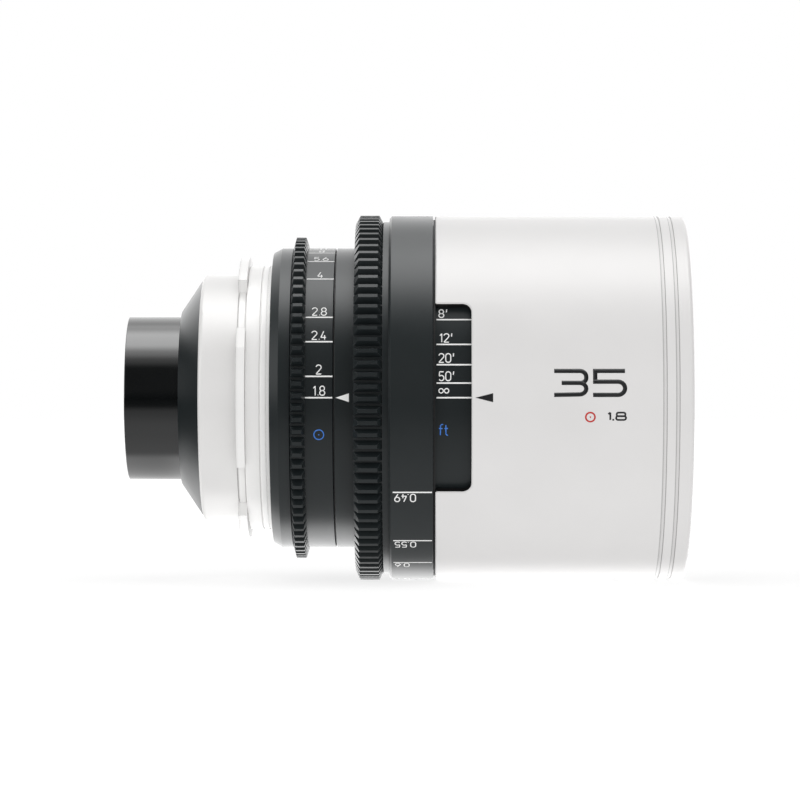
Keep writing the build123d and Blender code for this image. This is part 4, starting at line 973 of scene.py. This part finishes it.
# %% Floor
def mirrored_floor(tree, place):
    """How bright the floor is in the lens's reflections. Places are metres from the middle of the lens."""
    parts = split(tree, place)
    sideways = maths(tree, "SUBTRACT", parts["X"], middle[0])
    front_light = course(tree, parts["Y"], [(-0.3, 0.03), (-0.2, 0.05), (-0.11, 0.4), (-0.045, 0.62),
                                            (-0.016, 0.7)])
    front_ends = course(tree, sideways, [(-0.15, 0.02), (-0.09, 0.9), (0.1, 1.0), (0.3, 0.3)])
    rear_light = course(tree, parts["Y"], [(-0.017, 0.0), (-0.009, 2.2), (0.05, 1.6), (0.3, 0.6)])
    rear_ends = course(tree, sideways, [(-0.15, 0.02), (-0.085, 0.8), (-0.056, 0.3), (-0.04, 1.0),
                                        (0.1, 1.0), (0.3, 0.3)])
    return maths(tree, "MULTIPLY_ADD", rear_light, rear_ends,
                 maths(tree, "MULTIPLY", front_light, front_ends))


def floor_finish():
    material, tree, shader = new_finish("pale_floor")
    place = object_place(tree)
    grain = noise(tree, place, 40.0, 3.0)
    tone = mixed(tree, spread(tree, grain, 0.0, 1.0), (0.9, 0.9, 0.9), (0.94, 0.94, 0.94))
    wire(tree, shader, {"Base Color": tone, "Roughness": 0.9})
    path = add(tree, "ShaderNodeLightPath").outputs
    from_lens = add(tree, "ShaderNodeVectorMath", {0: place, 1: (*middle[:2], cad_box[0].z)},
                    operation="DISTANCE")
    plain = spread(tree, from_lens.outputs["Value"], 0.7, 1.0, 0.12, 0.4)
    seen_beyond = maths(tree, "MAXIMUM", path["Is Glossy Ray"], path["Is Transmission Ray"])
    # The floor glows: white emission makes up most of what the camera and the lens's light see of it.
    share = maths(tree, "MAXIMUM", blend(tree, path["Is Camera Ray"], 0.8, plain), seen_beyond)
    direct = blend(tree, path["Is Camera Ray"], 1.0, 1.15)
    strength = blend(tree, path["Is Glossy Ray"], direct, mirrored_floor(tree, place))
    white = add(tree, "ShaderNodeEmission", {"Color": (1.0, 1.0, 1.0, 1.0), "Strength": strength})
    both = add(tree, "ShaderNodeMixShader", {0: share, 1: shader.outputs[0], 2: white.outputs[0]})
    wire(tree, tree.nodes["Material Output"], {"Surface": both.outputs[0]})
    return material


def pale_floor(height, reach):
    mesh = bpy.data.meshes.new("floor")
    corners = [(x * reach, y * reach, height) for x, y in ((-1, -1), (1, -1), (1, 1), (-1, 1))]
    mesh.from_pydata(corners, [], [(0, 1, 2, 3)])
    mesh.materials.append(floor_finish())
    new_object("floor", mesh)
    print("floor at", round(height / mm, 2), "mm")


floor_gap, floor_reach = 0.02 * mm, 6.0
pale_floor(cad_box[0].z - floor_gap, floor_reach)


# %% [markdown]
# Shiny black parts show nothing but what they mirror, and lamps alone would leave hard glints on them. So
# the world is the studio. Its camera side is dark, so the near faces go black, a long bright panel
# overhead gives the broad band along the top, and what is behind is white, so the outlines fade to
# white. A card beyond the mount's end, on the camera's side, lights the faces that look that way. Only
# glossy rays see all that. The world is plain white to the camera, and to the rest it is a soft light,
# stronger from the camera's side.

# %% Studio world
def mirrored_studio(tree, way, degrees):
    """How bright the studio is in the lens's reflections. Degrees go from the camera up over the lens."""
    square = length_across(tree, way)
    side_card = add(tree, "ShaderNodeVectorMath", {0: way, 1: (-0.82, -0.51, 0.256)}, operation="DOT_PRODUCT")
    side_light = course(tree, side_card.outputs["Value"], [(0.8, 0.0), (0.91, 0.9), (1.0, 1.4)])
    panel = course(tree, degrees, [(0.0, 0.02), (12.0, 0.06), (42.0, 0.06), (54.0, 0.5), (66.0, 1.7),
                                   (80.0, 4.3), (97.0, 4.3), (116.0, 1.0), (130.0, 0.0), (180.0, 0.0)])
    panel_ends = course(tree, square, [(0.78, 0.02), (0.95, 1.0)])
    backdrop = course(tree, degrees, [(95.0, 0.0), (120.0, 1.3), (145.0, 1.6), (180.0, 2.2)])
    backdrop_ends = course(tree, square, [(0.42, 0.01), (0.6, 0.25), (0.8, 1.0)])
    panel_and_card = maths(tree, "MULTIPLY_ADD", panel, panel_ends, side_light)
    return maths(tree, "MULTIPLY_ADD", backdrop, backdrop_ends, panel_and_card)


def studio_world():
    world = bpy.data.worlds.new("studio")
    bpy.context.scene.world = world
    world.use_nodes = True
    tree = world.node_tree
    way = add(tree, "ShaderNodeTexCoord").outputs["Generated"]
    parts = split(tree, way)
    height = maths(tree, "ARCTAN2", parts["Z"], maths(tree, "MULTIPLY", parts["Y"], -1.0))
    degrees = maths(tree, "DEGREES", height)
    soft = course(tree, degrees, [(0.0, 0.78), (45.0, 0.84), (95.0, 0.5), (180.0, 0.36)])
    path = add(tree, "ShaderNodeLightPath").outputs
    lighting = blend(tree, path["Is Glossy Ray"], soft, mirrored_studio(tree, way, degrees))
    through = maths(tree, "MAXIMUM", path["Is Camera Ray"], path["Is Transmission Ray"])
    wire(tree, tree.nodes["Background"], {"Color": (1.0, 1.0, 1.0, 1.0),
                                          "Strength": blend(tree, through, lighting, 1.0)})
    print("studio world has", len(tree.nodes), "nodes")


studio_world()


# %% [markdown]
# Two soft lamps, one overhead and one behind the camera, shape the pale parts and give the shadow. A sun
# would make the shadow hard. Large area lamps keep it soft, and they are hidden from glossy rays, so
# they add no glint of their own.

# %% Soft lamps
def soft_lamp(name, place, size, power):
    data = bpy.data.lights.new(name, "AREA")
    data.shape = "RECTANGLE"
    data.size, data.size_y = size
    data.energy = power
    lamp = new_object(name, data)
    lamp.location = place
    lamp.rotation_mode = "QUATERNION"
    lamp.rotation_quaternion = (Vector(middle) - Vector(place)).to_track_quat("-Z", "Y")
    lamp.visible_glossy = False
    lamp.visible_camera = False


soft_lamp("overhead_softbox", (middle[0], -0.02, 0.5), size=(0.42, 0.34), power=0.5)
soft_lamp("camera_side_fill", (middle[0], -1.5, 0.1), size=(1.0, 1.0), power=5.5)
print("lamps aimed at", [round(v / mm, 1) for v in middle])


# %% [markdown]
# The camera stands level with the optical axis, 835 mm from it, square to the lens. That was fitted to
# the photograph's edges, and one fit held for every ring's outline. The photograph's middle isn't the
# camera's own, which the small shift takes up.

# %% Camera
def photo_camera():
    photo_width, focal_pixels = 800.0, 3784.0
    own_middle = (430.8, 397.7)
    distance, across = 0.835, 41.6 * mm
    data = bpy.data.cameras.new("photo_camera")
    data.sensor_width = 36.0
    data.lens = data.sensor_width * focal_pixels / photo_width
    data.shift_x = (photo_width / 2 - own_middle[0]) / photo_width
    data.shift_y = (own_middle[1] - photo_width / 2) / photo_width
    data.clip_start, data.clip_end = 0.01, 20.0
    camera = new_object("photo_camera", data)
    camera.location = (across, -distance, 0.0)
    camera.rotation_euler = (math.radians(90.0), 0.0, 0.0)
    bpy.context.scene.camera = camera
    print("camera with a", round(data.lens, 1), "mm lens")


photo_camera()
bpy.context.scene.view_settings.view_transform = "Standard"

# %% [markdown]
# Last, the CAD's box is printed. The dressed model has to stay inside.

# %% Sizes and finish
print("CAD box", [[round(v / mm, 2) for v in c] for c in cad_box])
